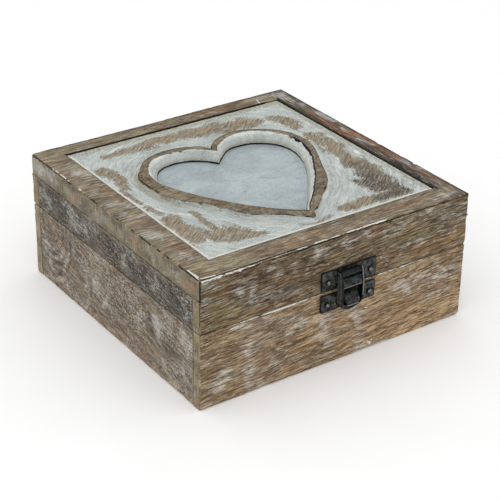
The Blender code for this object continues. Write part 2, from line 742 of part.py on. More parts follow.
def make_leaf(name, hinge_x, upward, material, parent):
    """A flat leaf with its own knuckles: two outer ones below, the middle one above."""
    way = 1 if upward else -1
    knuckle = HINGE_WIDTH / 3
    own = [0] if upward else [-1, 1]
    half = (knuckle - HINGE_CLEARANCE) / 2
    tabs = [(hinge_x + slot * knuckle - half, hinge_x + slot * knuckle + half) for slot in own]
    near_z = SEAM + way * JOINT_GAP / 2
    bm = bmesh.new()
    add_prism(bm, [(x, y, near_z) for x, y in leaf_outline(hinge_x, tabs)], (0, 0, way), LEAF_THICKNESS)
    leaf = make_object(name, bm, HINGE_AXIS + Vector((hinge_x, 0, 0)), material, parent)
    for left, right in tabs:
        bm = bmesh.new()
        add_rod(bm, (left, HINGE_AXIS.y, SEAM), (right, HINGE_AXIS.y, SEAM), KNUCKLE_RADIUS)
        cut(leaf, bm, "UNION")
    bm = bmesh.new()
    overhang = Vector((HINGE_WIDTH / 2 + CUT_OVERRUN, 0, 0))
    axis = HINGE_AXIS + Vector((hinge_x, 0, 0))
    add_rod(bm, axis - overhang, axis + overhang, HINGE_PIN_RADIUS + HINGE_CLEARANCE, sides=SMALL_SIDES)
    taper = (HINGE_HEAD_RADIUS - HINGE_SHANK_RADIUS) / LEAF_THICKNESS
    for seat in hinge_screw_points(hinge_x, upward):
        start = seat - Vector((0, 0, way * CUT_OVERRUN / 2))
        end = seat + Vector((0, 0, way * (LEAF_THICKNESS + CUT_OVERRUN / 2)))
        wide = HINGE_HEAD_RADIUS + HINGE_CLEARANCE + taper * CUT_OVERRUN / 2
        narrow = HINGE_SHANK_RADIUS + HINGE_CLEARANCE - taper * CUT_OVERRUN / 2
        add_rod(bm, start, end, wide, narrow, sides=SMALL_SIDES)
    cut(leaf, bm)
    return leaf


def make_hinges(material, lid):
    for side, sign in (("left", -1), ("right", 1)):
        hinge_x = sign * HINGE_SPACING / 2
        make_leaf(f"hinge_{side}_lower_leaf", hinge_x, False, material, None)
        make_leaf(f"hinge_{side}_upper_leaf", hinge_x, True, material, lid)
        axis = HINGE_AXIS + Vector((hinge_x, 0, 0))
        make_pin(f"hinge_{side}_pin", axis, HINGE_WIDTH, HINGE_PIN_RADIUS, material, None)
        seats = [(p, False) for p in hinge_screw_points(hinge_x, False)]
        seats += [(p, True) for p in hinge_screw_points(hinge_x, True)]
        for number, (seat, upward) in enumerate(seats, 1):
            make_screw(
                f"hinge_{side}_screw_{number}",
                seat,
                (0, 0, 1 if upward else -1),
                HINGE_HEAD_RADIUS,
                LEAF_THICKNESS,
                HINGE_SHANK_RADIUS,
                HINGE_SCREW_LENGTH,
                False,
                material,
                lid if upward else None,
            )


def main():
    clear_scene()
    base_wood = make_material("base_wood", (0.36, 0.25, 0.16), 0.75)
    lid_wood = make_material("lid_wood", (0.33, 0.23, 0.15), 0.75)
    floor_wood = make_material("floor_wood", (0.47, 0.34, 0.21), 0.8)
    painted_wood = make_material("painted_wood", (0.72, 0.74, 0.72), 0.85)
    pale_board = make_material("pale_board", (0.60, 0.66, 0.69), 0.9)
    dark_metal = make_material("dark_metal", (0.06, 0.06, 0.06), 0.45, 0.8)

    lid = make_axis("lid_hinge_axis", HINGE_AXIS)
    hasp_axis = make_axis("hasp_axis", HASP_AXIS, lid)

    base_front, base_back = make_walls("base", 0, BASE_HEIGHT, base_wood, "bottom", "top")
    make_bottom(floor_wood)
    chip_bottom_edge(base_front)

    lid_top = LID_RIM + LID_WALL_HEIGHT
    lid_front, lid_back = make_walls("lid", LID_RIM, lid_top, lid_wood, None, "bottom", lid)
    make_top_frame(lid_wood, lid)
    make_heart_panel(painted_wood, lid)
    make_backing(pale_board, lid)

    drill_latch_holes(lid_front, "lid")
    drill_latch_holes(base_front, "base")
    make_latch(dark_metal, lid, hasp_axis)

    let_in_hinges(base_back, False)
    let_in_hinges(lid_back, True)
    make_hinges(dark_metal, lid)


main()
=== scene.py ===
# Wooden box with a carved heart lid: finished surfaces and colours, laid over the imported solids.
# Sizes in the dictionaries are millimetres in the box's own frame: X right, Y back, Z up from its underside.
import math
import bpy
import numpy as np
from mathutils import Matrix, Vector


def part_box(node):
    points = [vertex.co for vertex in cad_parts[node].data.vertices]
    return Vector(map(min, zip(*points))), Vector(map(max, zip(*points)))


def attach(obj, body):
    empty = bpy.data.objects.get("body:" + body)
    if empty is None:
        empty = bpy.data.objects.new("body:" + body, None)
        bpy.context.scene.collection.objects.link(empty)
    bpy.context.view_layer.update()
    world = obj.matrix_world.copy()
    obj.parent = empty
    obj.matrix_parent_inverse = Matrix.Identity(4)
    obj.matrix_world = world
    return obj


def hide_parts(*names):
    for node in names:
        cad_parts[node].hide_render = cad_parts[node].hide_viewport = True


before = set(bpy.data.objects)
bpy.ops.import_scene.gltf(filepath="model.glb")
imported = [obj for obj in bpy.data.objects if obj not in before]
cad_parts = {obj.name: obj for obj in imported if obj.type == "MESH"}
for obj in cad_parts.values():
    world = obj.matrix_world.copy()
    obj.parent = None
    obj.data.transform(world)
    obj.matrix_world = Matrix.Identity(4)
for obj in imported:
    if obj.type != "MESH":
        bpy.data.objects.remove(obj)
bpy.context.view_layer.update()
mm = 0.001
halfWidth = 90.0
seamHeight = 46.4
topHeight = 78.5


# Numbers that vary smoothly over a surface

def latticeNoise(points, seed):
    # between -1 and 1: a random number at every whole-number place, eased between the eight around a point
    cell = np.floor(points).astype(np.int64)
    part = points - cell
    ease = part * part * (3 - 2 * part)
    total = np.zeros(len(points))
    for corner in range(8):
        step = np.array([corner >> 2 & 1, corner >> 1 & 1, corner & 1])
        key = ((cell + step) @ np.array([73856093, 19349663, 83492791]) + seed * 40503) & 0xFFFFFFFF
        key = ((key ^ (key >> 15)) * 2246822519) & 0xFFFFFFFF
        key = ((key ^ (key >> 13)) * 3266489917) & 0xFFFFFFFF
        value = (key ^ (key >> 16)) / 2147483648.0 - 1
        total += value * np.prod(np.where(step, ease, 1 - ease), axis=1)
    return total


def softNoise(points, size, seed, octaves=1):
    # lattice noise whose hills are "size" across (one number, or one for each axis), with finer ones at half
    # the height
    spread = points / np.asarray(size, float)
    total, height = 0.0, 1.0
    for octave in range(octaves):
        total = total + height * latticeNoise(spread * 2 ** octave + 17.3 * octave, seed + octave)
        height *= 0.5
    return total / (2 - 2 ** (1 - octaves))


def smooth(value, low, high):
    # 0 below low, 1 above high, an S-curve between them
    share = np.clip((value - low) / (high - low), 0, 1)
    return share * share * (3 - 2 * share)


def nearLine(distance, inner, outer):
    # 1 on a line, 0 further from it than outer
    return 1 - smooth(np.abs(distance), inner, outer)


def strokes(flat, lines, seed, ragged=0.45, core=0.1, rim=1.1):
    # how much of a brush stroke each place has: full near the line, fading out at the given distance from it,
    # which wanders with noise; lines are (from, to, distance, strength)
    spot = np.column_stack([flat, np.zeros(len(flat))])
    wander = 1 + ragged * softNoise(spot, 7, seed, 3)
    total = np.zeros(len(flat))
    for start, end, reach, strength in lines:
        start, end = np.array(start, float), np.array(end, float)
        along = end - start
        share = np.clip((flat - start) @ along / max(along @ along, 1e-9), 0, 1)
        away = np.linalg.norm(flat - start - share[:, None] * along, axis=1)
        total = np.maximum(total, strength * (1 - smooth(away / reach * wander, core, rim)))
    return total


# Meshes

def makeMesh(name, points, faces, material, body, standsFor, marks, others=(), whichMaterial=None,
        flow=None):
    # points in millimetres, faces as rows of four; marks are one number a point, read by the materials, and
    # flow one vector a point
    mesh = bpy.data.meshes.new(name)
    mesh.vertices.add(len(points))
    mesh.vertices.foreach_set("co", (np.asarray(points, np.float32) * mm).ravel())
    mesh.loops.add(faces.size)
    mesh.loops.foreach_set("vertex_index", faces.astype(np.int32).ravel())
    mesh.polygons.add(len(faces))
    mesh.polygons.foreach_set("loop_start", np.arange(0, faces.size, 4, dtype=np.int32))
    mesh.polygons.foreach_set("use_smooth", np.ones(len(faces), bool))
    mesh.materials.append(material)
    for other in others:
        mesh.materials.append(other)
    if others:
        mesh.polygons.foreach_set("material_index", whichMaterial.astype(np.int32))
    mesh.update(calc_edges=True)
    mesh.validate()
    for label, values in marks.items():
        layer = mesh.attributes.new(label, "FLOAT", "POINT")
        layer.data.foreach_set("value", np.clip(values, 0, 3).astype(np.float32))
    if flow is not None:
        mesh.attributes.new("flow", "FLOAT_VECTOR", "POINT").data.foreach_set("vector",
                flow.astype(np.float32).ravel())
    piece = bpy.data.objects.new(name, mesh)
    bpy.context.scene.collection.objects.link(piece)
    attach(piece, body)
    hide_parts(*standsFor)
    return piece


def wrapFaces(rows, columns, closeRows=True, closeColumns=True):
    # the quads of a grid of rows x columns points, joined round in either direction
    row = np.arange(rows if closeRows else rows - 1)
    column = np.arange(columns if closeColumns else columns - 1)
    r, c = np.meshgrid(row, column, indexing="ij")
    rNext, cNext = (r + 1) % rows, (c + 1) % columns
    corners = [r * columns + c, r * columns + cNext, rNext * columns + cNext, rNext * columns + c]
    return np.stack(corners, -1).reshape(-1, 4)


def joined(parts):
    # several (points, faces) surfaces as one
    start, points, faces = 0, [], []
    for partPoints, partFaces in parts:
        points.append(partPoints)
        faces.append(partFaces + start)
        start += len(partPoints)
    return np.concatenate(points), np.concatenate(faces)


closeSteps = np.array([0, 0.2, 0.45, 0.75, 1.1, 1.7])  # rows of points beside an arris


def sideLines(low, high, step, radius):
    # places along one side of a board: even steps, and closer ones where both ends are rounded
    near = radius * closeSteps
    count = max(2, int(round((high - low - 2 * near[-1]) / step)) + 1)
    middle = np.linspace(low + near[-1], high - near[-1], count)
    return np.concatenate([low + near[:-1], middle, (high - near[:-1])[::-1]])


def boxGrid(low, high, step, radius):
    # the six faces of a box as grids that share the points on its edges
    lines = [sideLines(low[axis], high[axis], step, radius) for axis in range(3)]
    counts = [len(line) for line in lines]
    quads = []
    for axis in range(3):
        second, third = (axis + 1) % 3, (axis + 2) % 3
        u, v = np.meshgrid(np.arange(counts[second] - 1), np.arange(counts[third] - 1), indexing="ij")
        for end in (0, counts[axis] - 1):
            corners = []
            for du, dv in ((0, 0), (1, 0), (1, 1), (0, 1)):
                index = [0, 0, 0]
                index[axis], index[second], index[third] = np.full(u.shape, end), u + du, v + dv
                corners.append((index[0] * counts[1] + index[1]) * counts[2] + index[2])
            quad = np.stack(corners, -1).reshape(-1, 4)
            quads.append(quad if end else quad[:, ::-1])
    keys, faces = np.unique(np.concatenate(quads), return_inverse=True)
    place = np.unravel_index(keys, counts)
    points = np.stack([lines[axis][place[axis]] for axis in range(3)], axis=1)
    return points, faces.reshape(-1, 4)


sides = {"left": (0, 0), "right": (0, 1), "front": (1, 0), "back": (1, 1), "bottom": (2, 0), "top": (2, 1)}


def fromSide(points, low, high, side):
    # distance of each point from one side of the box
    axis, end = sides[side]
    return np.abs(points[:, axis] - (high, low)[1 - end][axis])


def fromArris(points, low, high, pair):
    # distance of each point from the edge where two sides meet
    return np.hypot(fromSide(points, low, high, pair[0]), fromSide(points, low, high, pair[1]))


def drawIn(points, low, high, radius):
    # rounds a box: the nearest point of the box that is "radius" smaller, and from there that radius outwards
    inner = np.clip(points, low + radius[:, None], high - radius[:, None])
    away = points - inner
    outward = away / np.maximum(np.linalg.norm(away, axis=1), 1e-9)[:, None]
    return inner + outward * radius[:, None], outward


# Node building

def colour(red, green, blue):
    # screen colour 0-255 as the linear colour that nodes use
    share = [value / 255 for value in (red, green, blue)]
    return tuple(v / 12.92 if v <= 0.04045 else ((v + 0.055) / 1.055) ** 2.4 for v in share) + (1.0,)


def node(tree, kind, inputs=None, **settings):
    # a new node: settings are its own properties, inputs are links or fixed values by name or number
    made = tree.nodes.new(kind)
    for key, value in settings.items():
        setattr(made, key, value)
    for key, value in (inputs or {}).items():
        if isinstance(value, bpy.types.NodeSocket):
            tree.links.new(value, made.inputs[key])
        else:
            made.inputs[key].default_value = value
    return made


def calc(tree, operation, first, second=0.0, third=0.0, clamp=False):
    # arithmetic on numbers
    inputs = {0: first, 1: second, 2: third}
    return node(tree, "ShaderNodeMath", inputs, operation=operation, use_clamp=clamp).outputs[0]


def times(tree, first, second):
    return calc(tree, "MULTIPLY", first, second)


def mulAdd(tree, value, factor, added):
    # value times factor, plus added
    return calc(tree, "MULTIPLY_ADD", value, factor, added)


def summed(tree, parts):
    # the sum of patterns, each times its share
    (first, share), *others = parts
    total = times(tree, first, share)
    for pattern, share in others:
        total = mulAdd(tree, pattern, share, total)
    return total


def roughened(tree, level, parts):
    # a level plus how far each pattern is from its middle, times its share
    for pattern, share in parts:
        level = mulAdd(tree, calc(tree, "SUBTRACT", pattern, 0.5), share, level)
    return level


def vectorCalc(tree, operation, first, second):
    # arithmetic on places; to scale one, the second is a number
    inputs = {0: first, "Scale" if operation == "SCALE" else 1: second}
    return node(tree, "ShaderNodeVectorMath", inputs, operation=operation).outputs[0]


def blend(tree, share, first, second):
    # colour between first and second
    return node(tree, "ShaderNodeMix", {0: share, 6: first, 7: second}, data_type="RGBA").outputs[2]


def ramp(tree, value, low, high, start=0.0, end=1.0):
    # smooth step of a value from start to end
    inputs = {0: value, 1: low, 2: high, 3: start, 4: end}
    return node(tree, "ShaderNodeMapRange", inputs, interpolation_type="SMOOTHSTEP").outputs[0]


def noiseNode(tree, place, detail, roughness, distortion=0.0):
    inputs = {"Vector": place, "Scale": 1.0, "Detail": detail, "Roughness": roughness,
            "Distortion": distortion}
    return node(tree, "ShaderNodeTexNoise", inputs).outputs


def stretched(tree, place, scale, detail=2.0, roughness=0.55, distortion=0.0, shift=(0, 0, 0)):
    # noise whose hills are 1/scale millimetres long on each axis
    moved = node(tree, "ShaderNodeMapping", {"Vector": place, "Scale": scale, "Location": shift}).outputs[0]
    return noiseNode(tree, moved, detail, roughness, distortion)[0]


def newGroup(name, inputs, outputs):
    # an empty node group: a vector input "Place", number inputs with their start values, and its outputs
    tree = bpy.data.node_groups.new(name, "ShaderNodeTree")
    tree.interface.new_socket(name="Place", in_out="INPUT", socket_type="NodeSocketVector")
    for label, start in inputs.items():
        socket = tree.interface.new_socket(name=label, in_out="INPUT", socket_type="NodeSocketFloat")
        socket.default_value = start
    for label in outputs:
        tree.interface.new_socket(name=label, in_out="OUTPUT", socket_type="NodeSocketFloat")
    return tree, tree.nodes.new("NodeGroupInput").outputs, tree.nodes.new("NodeGroupOutput").inputs


def buildGrain():
    # Place is in millimetres with the grain along X; Wander is how far the grain strays from it
    outputs = ("Figure", "Hue", "Streaks", "Lights", "Fibres", "Pores")
    tree, given, result = newGroup("wood grain", {"Wander": 3.0}, outputs)
    place = given["Place"]
    drift = node(tree, "ShaderNodeMapping", {"Vector": place, "Scale": (0.018, 0.045, 0.045)}).outputs[0]
    drift = vectorCalc(tree, "SUBTRACT", noiseNode(tree, drift, 2.0, 0.5)[1], (0.5, 0.5, 0.5))
    moved = vectorCalc(tree, "ADD", place, vectorCalc(tree, "SCALE", drift, given["Wander"]))
    figure = stretched(tree, moved, (0.022, 0.15, 0.15), 3, 0.6)
    hue = stretched(tree, moved, (0.045, 0.36, 0.36), 3, 0.6, shift=(11, 6, 2))
    streaks = stretched(tree, moved, (0.040, 0.60, 0.60), 3, 0.65, shift=(7, 3, 1))
    fibres = stretched(tree, moved, (0.100, 1.20, 1.20), 2, 0.6, shift=(2, 9, 4))
    pores = stretched(tree, moved, (0.150, 1.70, 1.70), 1, 0.5, shift=(5, 1, 8))
    # each output is a pattern where it passes from one level to the other
    steps = ((figure, 0.36, 0.66), (hue, 0.34, 0.66), (streaks, 0.48, 0.64),
            (fibres, 0.48, 0.32), (fibres, 0.48, 0.64), (pores, 0.54, 0.68))
    for output, (pattern, low, high) in zip(outputs, steps):
        tree.links.new(ramp(tree, pattern, low, high), result[output])
    return tree


def buildWash():
    # white wash left as fine smears along the grain, denser in clouds; Amount shifts how much is left,
    # Cloud and Length are 1/size in mm of the clouds and of one smear, Grit breaks it into specks
    inputs = {"Amount": 0.0, "Cloud": 0.06, "Length": 0.10, "Patches": 0.6, "Grit": 0.3}
    tree, given, result = newGroup("white wash", inputs, ("Mask",))
    place = given["Place"]
    cloud = vectorCalc(tree, "SCALE", place, given["Cloud"])
    cloud = stretched(tree, cloud, (1.0, 1.0, 1.0), 3, 0.6, 0.5, (3, 5, 7))
    reach = node(tree, "ShaderNodeCombineXYZ", {0: given["Length"], 1: 0.95, 2: 0.95}).outputs[0]
    fine = noiseNode(tree, vectorCalc(tree, "MULTIPLY", place, reach), 3.0, 0.65)[0]
    grit = stretched(tree, place, (0.9, 1.3, 1.3), 1, 0.6, 0.0, (1, 8, 3))
    level = roughened(tree, fine, [(cloud, given["Patches"]), (grit, given["Grit"])])
    level = calc(tree, "ADD", level, given["Amount"])
    tree.links.new(ramp(tree, level, 0.52, 0.76), result["Mask"])
    return tree


def buildBrokenEdge():
    # turns a soft mark on the surface into one with a ragged, broken edge; Keep is how much of it is left
    tree, given, result = newGroup("broken edge", {"Mark": 0.0, "Keep": 0.5, "Size": 0.5}, ("Mask",))
    place = vectorCalc(tree, "SCALE", given["Place"], given["Size"])
    bits = stretched(tree, place, (0.6, 1.3, 1.3), 4, 0.7, 0.2, (4, 4, 9))
    level = calc(tree, "ADD", calc(tree, "ADD", given["Mark"], bits), given["Keep"])
    tree.links.new(ramp(tree, level, 1.36, 1.52), result["Mask"])
    return tree


grainGroup = buildGrain()
washGroup = buildWash()
edgeGroup = buildBrokenEdge()


def newMaterial(name):
    # an empty material, its node tree and its surface shader
    material = bpy.data.materials.new(name)
    material.use_nodes = True
    tree = material.node_tree
    return material, tree, tree.nodes["Principled BSDF"]


def finishMaterial(tree, surface, tone, rough, height, strength, reach, shine=0.2):
    # gives the surface its colour, its roughness and a bump that is "reach" millimetres high
    tree.links.new(tone, surface.inputs["Base Color"])
    tree.links.new(rough, surface.inputs["Roughness"])
    surface.inputs["Specular IOR Level"].default_value = shine
    bump = node(tree, "ShaderNodeBump", {"Height": height, "Strength": strength, "Distance": reach * mm})
    tree.links.new(bump.outputs[0], surface.inputs["Normal"])


def painter(tree, look):
    # two ways to lay the look's colours over a tone: one colour by a share, and rows of
    # (pattern, from, to, strength, colour), each laid on where its pattern passes from one level to the other
    def over(tone, share, name):
        return blend(tree, share, tone, colour(*look[name]))

    def layered(tone, rows, cover=None):
        for pattern, low, high, strength, name in rows:
            share = ramp(tree, pattern, low, high, 0, strength)
            tone = over(tone, share if cover is None else times(tree, share, cover), name)
        return tone

    return over, layered


def grainPlace(tree, along, shift, tilt=0.0):
    # the piece's own place in millimetres, turned so that the grain, which climbs by "tilt" degrees,
    # runs along X
    climb = math.radians(tilt)
    turn = {"X": (0.0, climb, 0.0), "Y": (-climb, 0.0, -math.pi / 2)}[along]
    spot = node(tree, "ShaderNodeTexCoord").outputs["Object"]
    inputs = {"Vector": spot, "Scale": (1000, 1000, 1000), "Rotation": turn, "Location": shift}
    return node(tree, "ShaderNodeMapping", inputs).outputs[0]


def mark(tree, name):
    # one of the numbers that the mesh carries at its points
    return node(tree, "ShaderNodeAttribute", attribute_name=name).outputs["Fac"]


def groupOut(tree, group, inputs, output=None):
    # places a node group, and gives one output or all of them
    outputs = node(tree, "ShaderNodeGroup", inputs, node_tree=group).outputs
    return outputs[output] if output else outputs


def ragged(tree, place, name, keep=0.5, size=0.5):
    # a mark of the mesh with its edge broken up
    inputs = {"Place": place, "Mark": mark(tree, name), "Keep": keep, "Size": size}
    return groupOut(tree, edgeGroup, inputs, "Mask")


def agedWood(name, look):
    # wood from light to dark by figure and hue, with warm, olive and stained places; end grain where it is
    # cut; haze and smears of wash; over them streaks, fibres and pores; last thick paint, and grime with
    # painted shadow
    material, tree, surface = newMaterial(name)
    over, layered = painter(tree, look)
    place = grainPlace(tree, look["along"], look["shift"], look["tilt"])
    grain = groupOut(tree, grainGroup, {"Place": place, "Wander": look["wander"]})
    tone = over(colour(*look["middle"]), grain["Figure"], "light")
    clouds = stretched(tree, place, (0.032, 0.055, 0.055), 4, 0.6, 0.6, (4, 4, 1))
    tone = over(tone, ramp(tree, clouds, 0.42, 0.60, look["shade"], 0), "dark")
    tone = layered(tone, [
        (grain["Hue"], 0.60, 0.95, look["redness"], "red"),
        (grain["Hue"], 0.40, 0.05, look["greyness"], "grey"),
    ])
    blotch = stretched(tree, place, (0.3, 0.09, 0.16), 4, 0.6, 0.3, (6, 2, 2))
    smears = stretched(tree, place, (0.2, 0.08, 0.14), 3, 0.6, 0.5, (3, 6, 1))
    lines = stretched(tree, place, (0.5, 1.25, 0.16), 2, 0.6, 0.2, (2, 7, 7))
    endTone = layered(colour(*look["endDark"]), [
        (blotch, 0.36, 0.64, 1.0, "endLight"), (smears, 0.54, 0.68, look["endGrey"], "endCool"),
        (lines, 0.50, 0.66, look["endLines"], "dark"), (lines, 0.46, 0.32, look["endLines"], "lights"),
    ])
    tone = blend(tree, mark(tree, "endGrain"), tone, endTone)
    for stroke, share in (("warm", 0.7), ("olive", 0.8)):
        tone = over(tone, times(tree, mark(tree, stroke), share), stroke)
    stained = times(tree, mark(tree, "stain"), mulAdd(tree, grain["Streaks"], 0.5, 0.4))
    tone = over(tone, stained, "stain")
    haze = ramp(tree, stretched(tree, place, (0.14, 0.30, 0.30), 3, 0.65, 0.3, (2, 2, 5)), 0.34, 0.62)
    tone = over(tone, times(tree, times(tree, mark(tree, "wash"), haze), look["haze"]), "hazeTone")
    amount = mulAdd(tree, mark(tree, "wash"), look["washMark"], look["wash"])
    amount = calc(tree, "SUBTRACT", amount, mark(tree, "plain"))
    amount = mulAdd(tree, mark(tree, "endGrain"), -0.12, amount)
    shape = {socket: look[socket.lower()] for socket in ("Cloud", "Length", "Grit", "Patches")}
    washed = groupOut(tree, washGroup, {"Place": place, "Amount": amount, **shape}, "Mask")
    tone = over(tone, times(tree, washed, look["washDepth"]), "white")
    # fibres show through everywhere, less on the ends and where wash covers them
    strength = mulAdd(tree, mark(tree, "endGrain"), -0.7, 1.0)
    uncovered = mulAdd(tree, washed, -look["cover"], 1.0)
    for output, share, shade in (("Lights", "bright", "lights"), ("Streaks", "streaks", "dark"),
            ("Fibres", "fibres", "dark"), ("Pores", "pores", "pore")):
        amount = times(tree, times(tree, grain[output], strength), look[share])
        tone = over(tone, times(tree, amount, uncovered), shade)
    specks = stretched(tree, place, (0.7, 1.5, 1.5), 1, 0.6, 0.0, (9, 9, 2))
    clouds = stretched(tree, place, (0.04, 0.06, 0.06), 3, 0.6, 0.4, (1, 9, 9))
    where = ramp(tree, clouds, 0.42, 0.60, 0.3 * look["speckle"], look["speckle"])
    where = times(tree, where, ramp(tree, mark(tree, "stain"), 0.3, 1.5, 1.0, 0.35))
    tone = layered(tone, [(specks, 0.52, 0.66, 1.0, "dark"), (specks, 0.47, 0.33, 1.0, "lights")], where)
    thick = ragged(tree, place, "thick", 0.30, 1.3)
    tone = over(tone, thick, "thickWhite")
    # grime, and painted shadow in the seam between base and lid and beside the gap round the panel
    tone = over(tone, times(tree, ragged(tree, place, "grimeAndShade", 0.34, 1.3), 0.92), "grimeAndShadeTone")
    rough = ramp(tree, washed, 0.0, 1.0, look["rough"], look["rough"] + 0.12)
    height = summed(tree, [(grain["Fibres"], -0.45), (grain["Streaks"], -0.55), (grain["Pores"], -0.6),
            (washed, 0.35), (thick, 1.2)])
    finishMaterial(tree, surface, tone, rough, height, 0.6, 0.3)
    return material


# What a user would change about each wood: colours are screen colours

frontWood = {
    "along": "X", "shift": (0, 0, 0), "wander": 8.0, "tilt": 3.0,
    "light": (176, 150, 114), "middle": (142, 118, 88), "lights": (204, 184, 152), "dark": (78, 57, 40),
    "pore": (50, 36, 25),
    "red": (140, 103, 75), "redness": 0.6, "grey": (148, 138, 123), "greyness": 0.8, "olive": (144, 128, 91),
    "warm": (186, 153, 112), "stain": (78, 57, 41), "bright": 0.55, "fibres": 0.72, "streaks": 0.60,
    "pores": 0.75,
    "endDark": (112, 99, 80), "endLight": (158, 146, 126), "endLines": 0.48, "endGrey": 0.5,
    "endCool": (146, 145, 138),
    "haze": 0.5, "hazeTone": (156, 148, 138), "speckle": 0.25, "shade": 0.25,
    "white": (208, 206, 196), "thickWhite": (212, 210, 198), "grimeAndShadeTone": (22, 19, 17), "wash": -0.05,
    "washMark": 0.15, "cloud": 0.10, "patches": 0.7,
    "length": 0.16, "grit": 0.24, "washDepth": 0.74, "cover": 0.4, "rough": 0.62,
}
lidFrontWood = {
    **frontWood, "shift": (40, 7, 3), "light": (142, 121, 88), "middle": (108, 88, 62),
    "lights": (168, 150, 119), "dark": (50, 36, 25), "pore": (32, 23, 16),
    "red": (114, 78, 53), "grey": (120, 112, 99), "olive": (136, 121, 85), "stain": (56, 40, 29),
    "warm": (154, 119, 79), "hazeTone": (134, 130, 121), "white": (196, 197, 187),
}
sideWood = {
    **frontWood, "along": "Y", "shift": (13, 5, 9), "wander": 11.0, "tilt": 9.0,
    "light": (156, 140, 117), "middle": (124, 109, 90), "lights": (184, 174, 156), "dark": (60, 50, 42),
    "pore": (42, 36, 31), "stain": (70, 60, 52),
    "red": (128, 101, 79), "grey": (134, 129, 120), "olive": (120, 109, 91), "bright": 0.45, "fibres": 0.6,
    "streaks": 0.35, "pores": 0.6,
    "white": (194, 191, 183), "wash": -0.03, "washMark": 0.12, "cloud": 0.07, "patches": 1.2, "length": 0.34,
    "grit": 0.5, "washDepth": 0.75, "cover": 0.3,
    "warm": (164, 136, 104), "haze": 0.45, "hazeTone": (140, 135, 125), "speckle": 0.75, "shade": 0.5,
    "endDark": (118, 106, 88), "endLight": (152, 142, 124),
}
lidSideWood = {
    **sideWood, "shift": (3, 15, 29), "light": (114, 102, 86), "middle": (78, 69, 58),
    "lights": (158, 153, 141), "dark": (34, 29, 25), "pore": (24, 21, 19),
    "red": (92, 72, 56), "grey": (92, 88, 81), "olive": (118, 107, 88), "stain": (46, 40, 35),
    "white": (184, 183, 176), "hazeTone": (104, 99, 90), "speckle": 0.85,
}
topWood = {
    **frontWood, "shift": (5, 31, 11), "tilt": 0.0, "light": (158, 142, 114), "middle": (126, 109, 84),
    "lights": (188, 174, 146), "dark": (70, 55, 41), "pore": (46, 36, 28),
    "red": (128, 98, 72), "redness": 0.35, "grey": (142, 134, 119), "olive": (144, 135, 108),
    "white": (192, 191, 182),
    "endDark": (96, 88, 70), "endLight": (138, 128, 106), "endLines": 0.30, "endGrey": 0.9,
    "endCool": (132, 136, 132), "stain": (42, 35, 31), "warm": (146, 100, 66),
    "bright": 0.5, "fibres": 0.65, "streaks": 0.5, "pores": 0.55, "shade": 0.45, "washMark": 0.17,
    "cloud": 0.08, "washDepth": 0.72, "hazeTone": (156, 152, 142), "speckle": 0.2,
}
rightTopWood = {
    **topWood, "along": "Y", "light": (126, 106, 82), "middle": (94, 77, 59), "lights": (168, 158, 138),
    "dark": (52, 42, 35), "white": (176, 182, 182),
    "warm": (162, 100, 60), "stain": (26, 26, 28), "washMark": 0.28, "hazeTone": (150, 153, 150), "haze": 0.6,
    "grit": 0.5, "length": 0.10, "shade": 0.4,
}
plainWood = {
    **frontWood, "shift": (9, 3, 19), "light": (186, 160, 124), "middle": (160, 132, 98),
    "dark": (116, 88, 60),
    "fibres": 0.3, "streaks": 0.35, "pores": 0.3, "bright": 0.3, "wash": -0.6, "washDepth": 0.3,
    "redness": 0.3, "greyness": 0.2,
}


# Boards: a rounded box whose arrises, faces and nicks are uneven

stopCut = 1.35  # how much is cut off the outer edges of the two back rims


def boardSurface(node, look, seed):
    # a box drawn in along its arrises by wear and at its nicks, then let down a little by low, wide dips
    low, high = (np.array(corner) * 1000 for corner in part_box(node))
    high[2] += look.get("taller", 0)
    flat, faces = boxGrid(low, high, look["step"], 1.1)
    radius = np.full(len(flat), look["crisp"])
    for pair, wear in look["worn"].items():
        near = np.exp(-(fromArris(flat, low, high, pair) / 2.2) ** 2)
        uneven = 1 + 0.55 * softNoise(flat, 11, seed, 3)
        uneven += 0.9 * smooth(softNoise(flat, 4.5, seed + 9), 0.45, 0.8)
        radius = np.maximum(radius, wear * near * np.clip(uneven, 0.3, 2.4))
    for spot, reach, depth in look.get("nicks", ()):
        away = np.linalg.norm(flat - spot, axis=1) / reach
        nick = depth * (1 - smooth(away, 0.35, 1)) * (1 + 0.3 * softNoise(flat, 1.5, seed + 5))
        radius = np.maximum(radius, nick)
    if look.get("taller"):
        fromTop = high[2] - flat[:, 2]
        radius = np.where(fromTop < 1.5, 0.05 + radius * smooth(fromTop, 0.1, 1.5), radius)
    points, outward = drawIn(flat, low, high, radius)
    if look.get("bottomEdge"):
        lift = along(look["bottomEdge"], flat[:, 0], 1) * (1 + 0.3 * softNoise(flat, 3, seed + 6, 2))
        points[:, 2] += lift * (1 - smooth(flat[:, 2], 0, 4)) * (1 - smooth(flat[:, 1] - low[1], 0, 4))
    ripples = (14, 3, 3) if look["along"] == "X" else (3, 14, 3)
    dips = 0.10 * (1 + softNoise(flat, 28, seed + 1)) + 0.05 * (1 + softNoise(flat, ripples, seed + 2, 2))
    if look.get("taller"):
        dips = dips * smooth(fromTop, 0.0, 5)
    points = points - outward * dips[:, None] * look["uneven"]
    if look.get("rim"):
        # the outer edge of a back board's rim is cut off, for the open lid to come to rest on
        rim, way = (high[2], 1) if look["rim"] == "top" else (low[2], -1)
        over = np.clip(stopCut - way * (rim - points[:, 2]) - (high[1] - points[:, 1]), 0, None)
        points[:, 1] -= over / 2
        points[:, 2] -= way * over / 2
    return low, high, flat, points, faces


def faceMarks(look, onFace, seed):
    # the brush strokes of one face
    return {name: strokes(onFace, look[name], seed + number) if look.get(name) else np.zeros(len(onFace))
            for number, name in enumerate(("wash", "stain", "warm", "thick", "grimeAndShade", "olive"))}


def along(table, place, row):
    # one column of a table whose first column is the place along an edge
    table = np.array(table, float)
    return np.interp(place, table[:, 0], table[:, row])


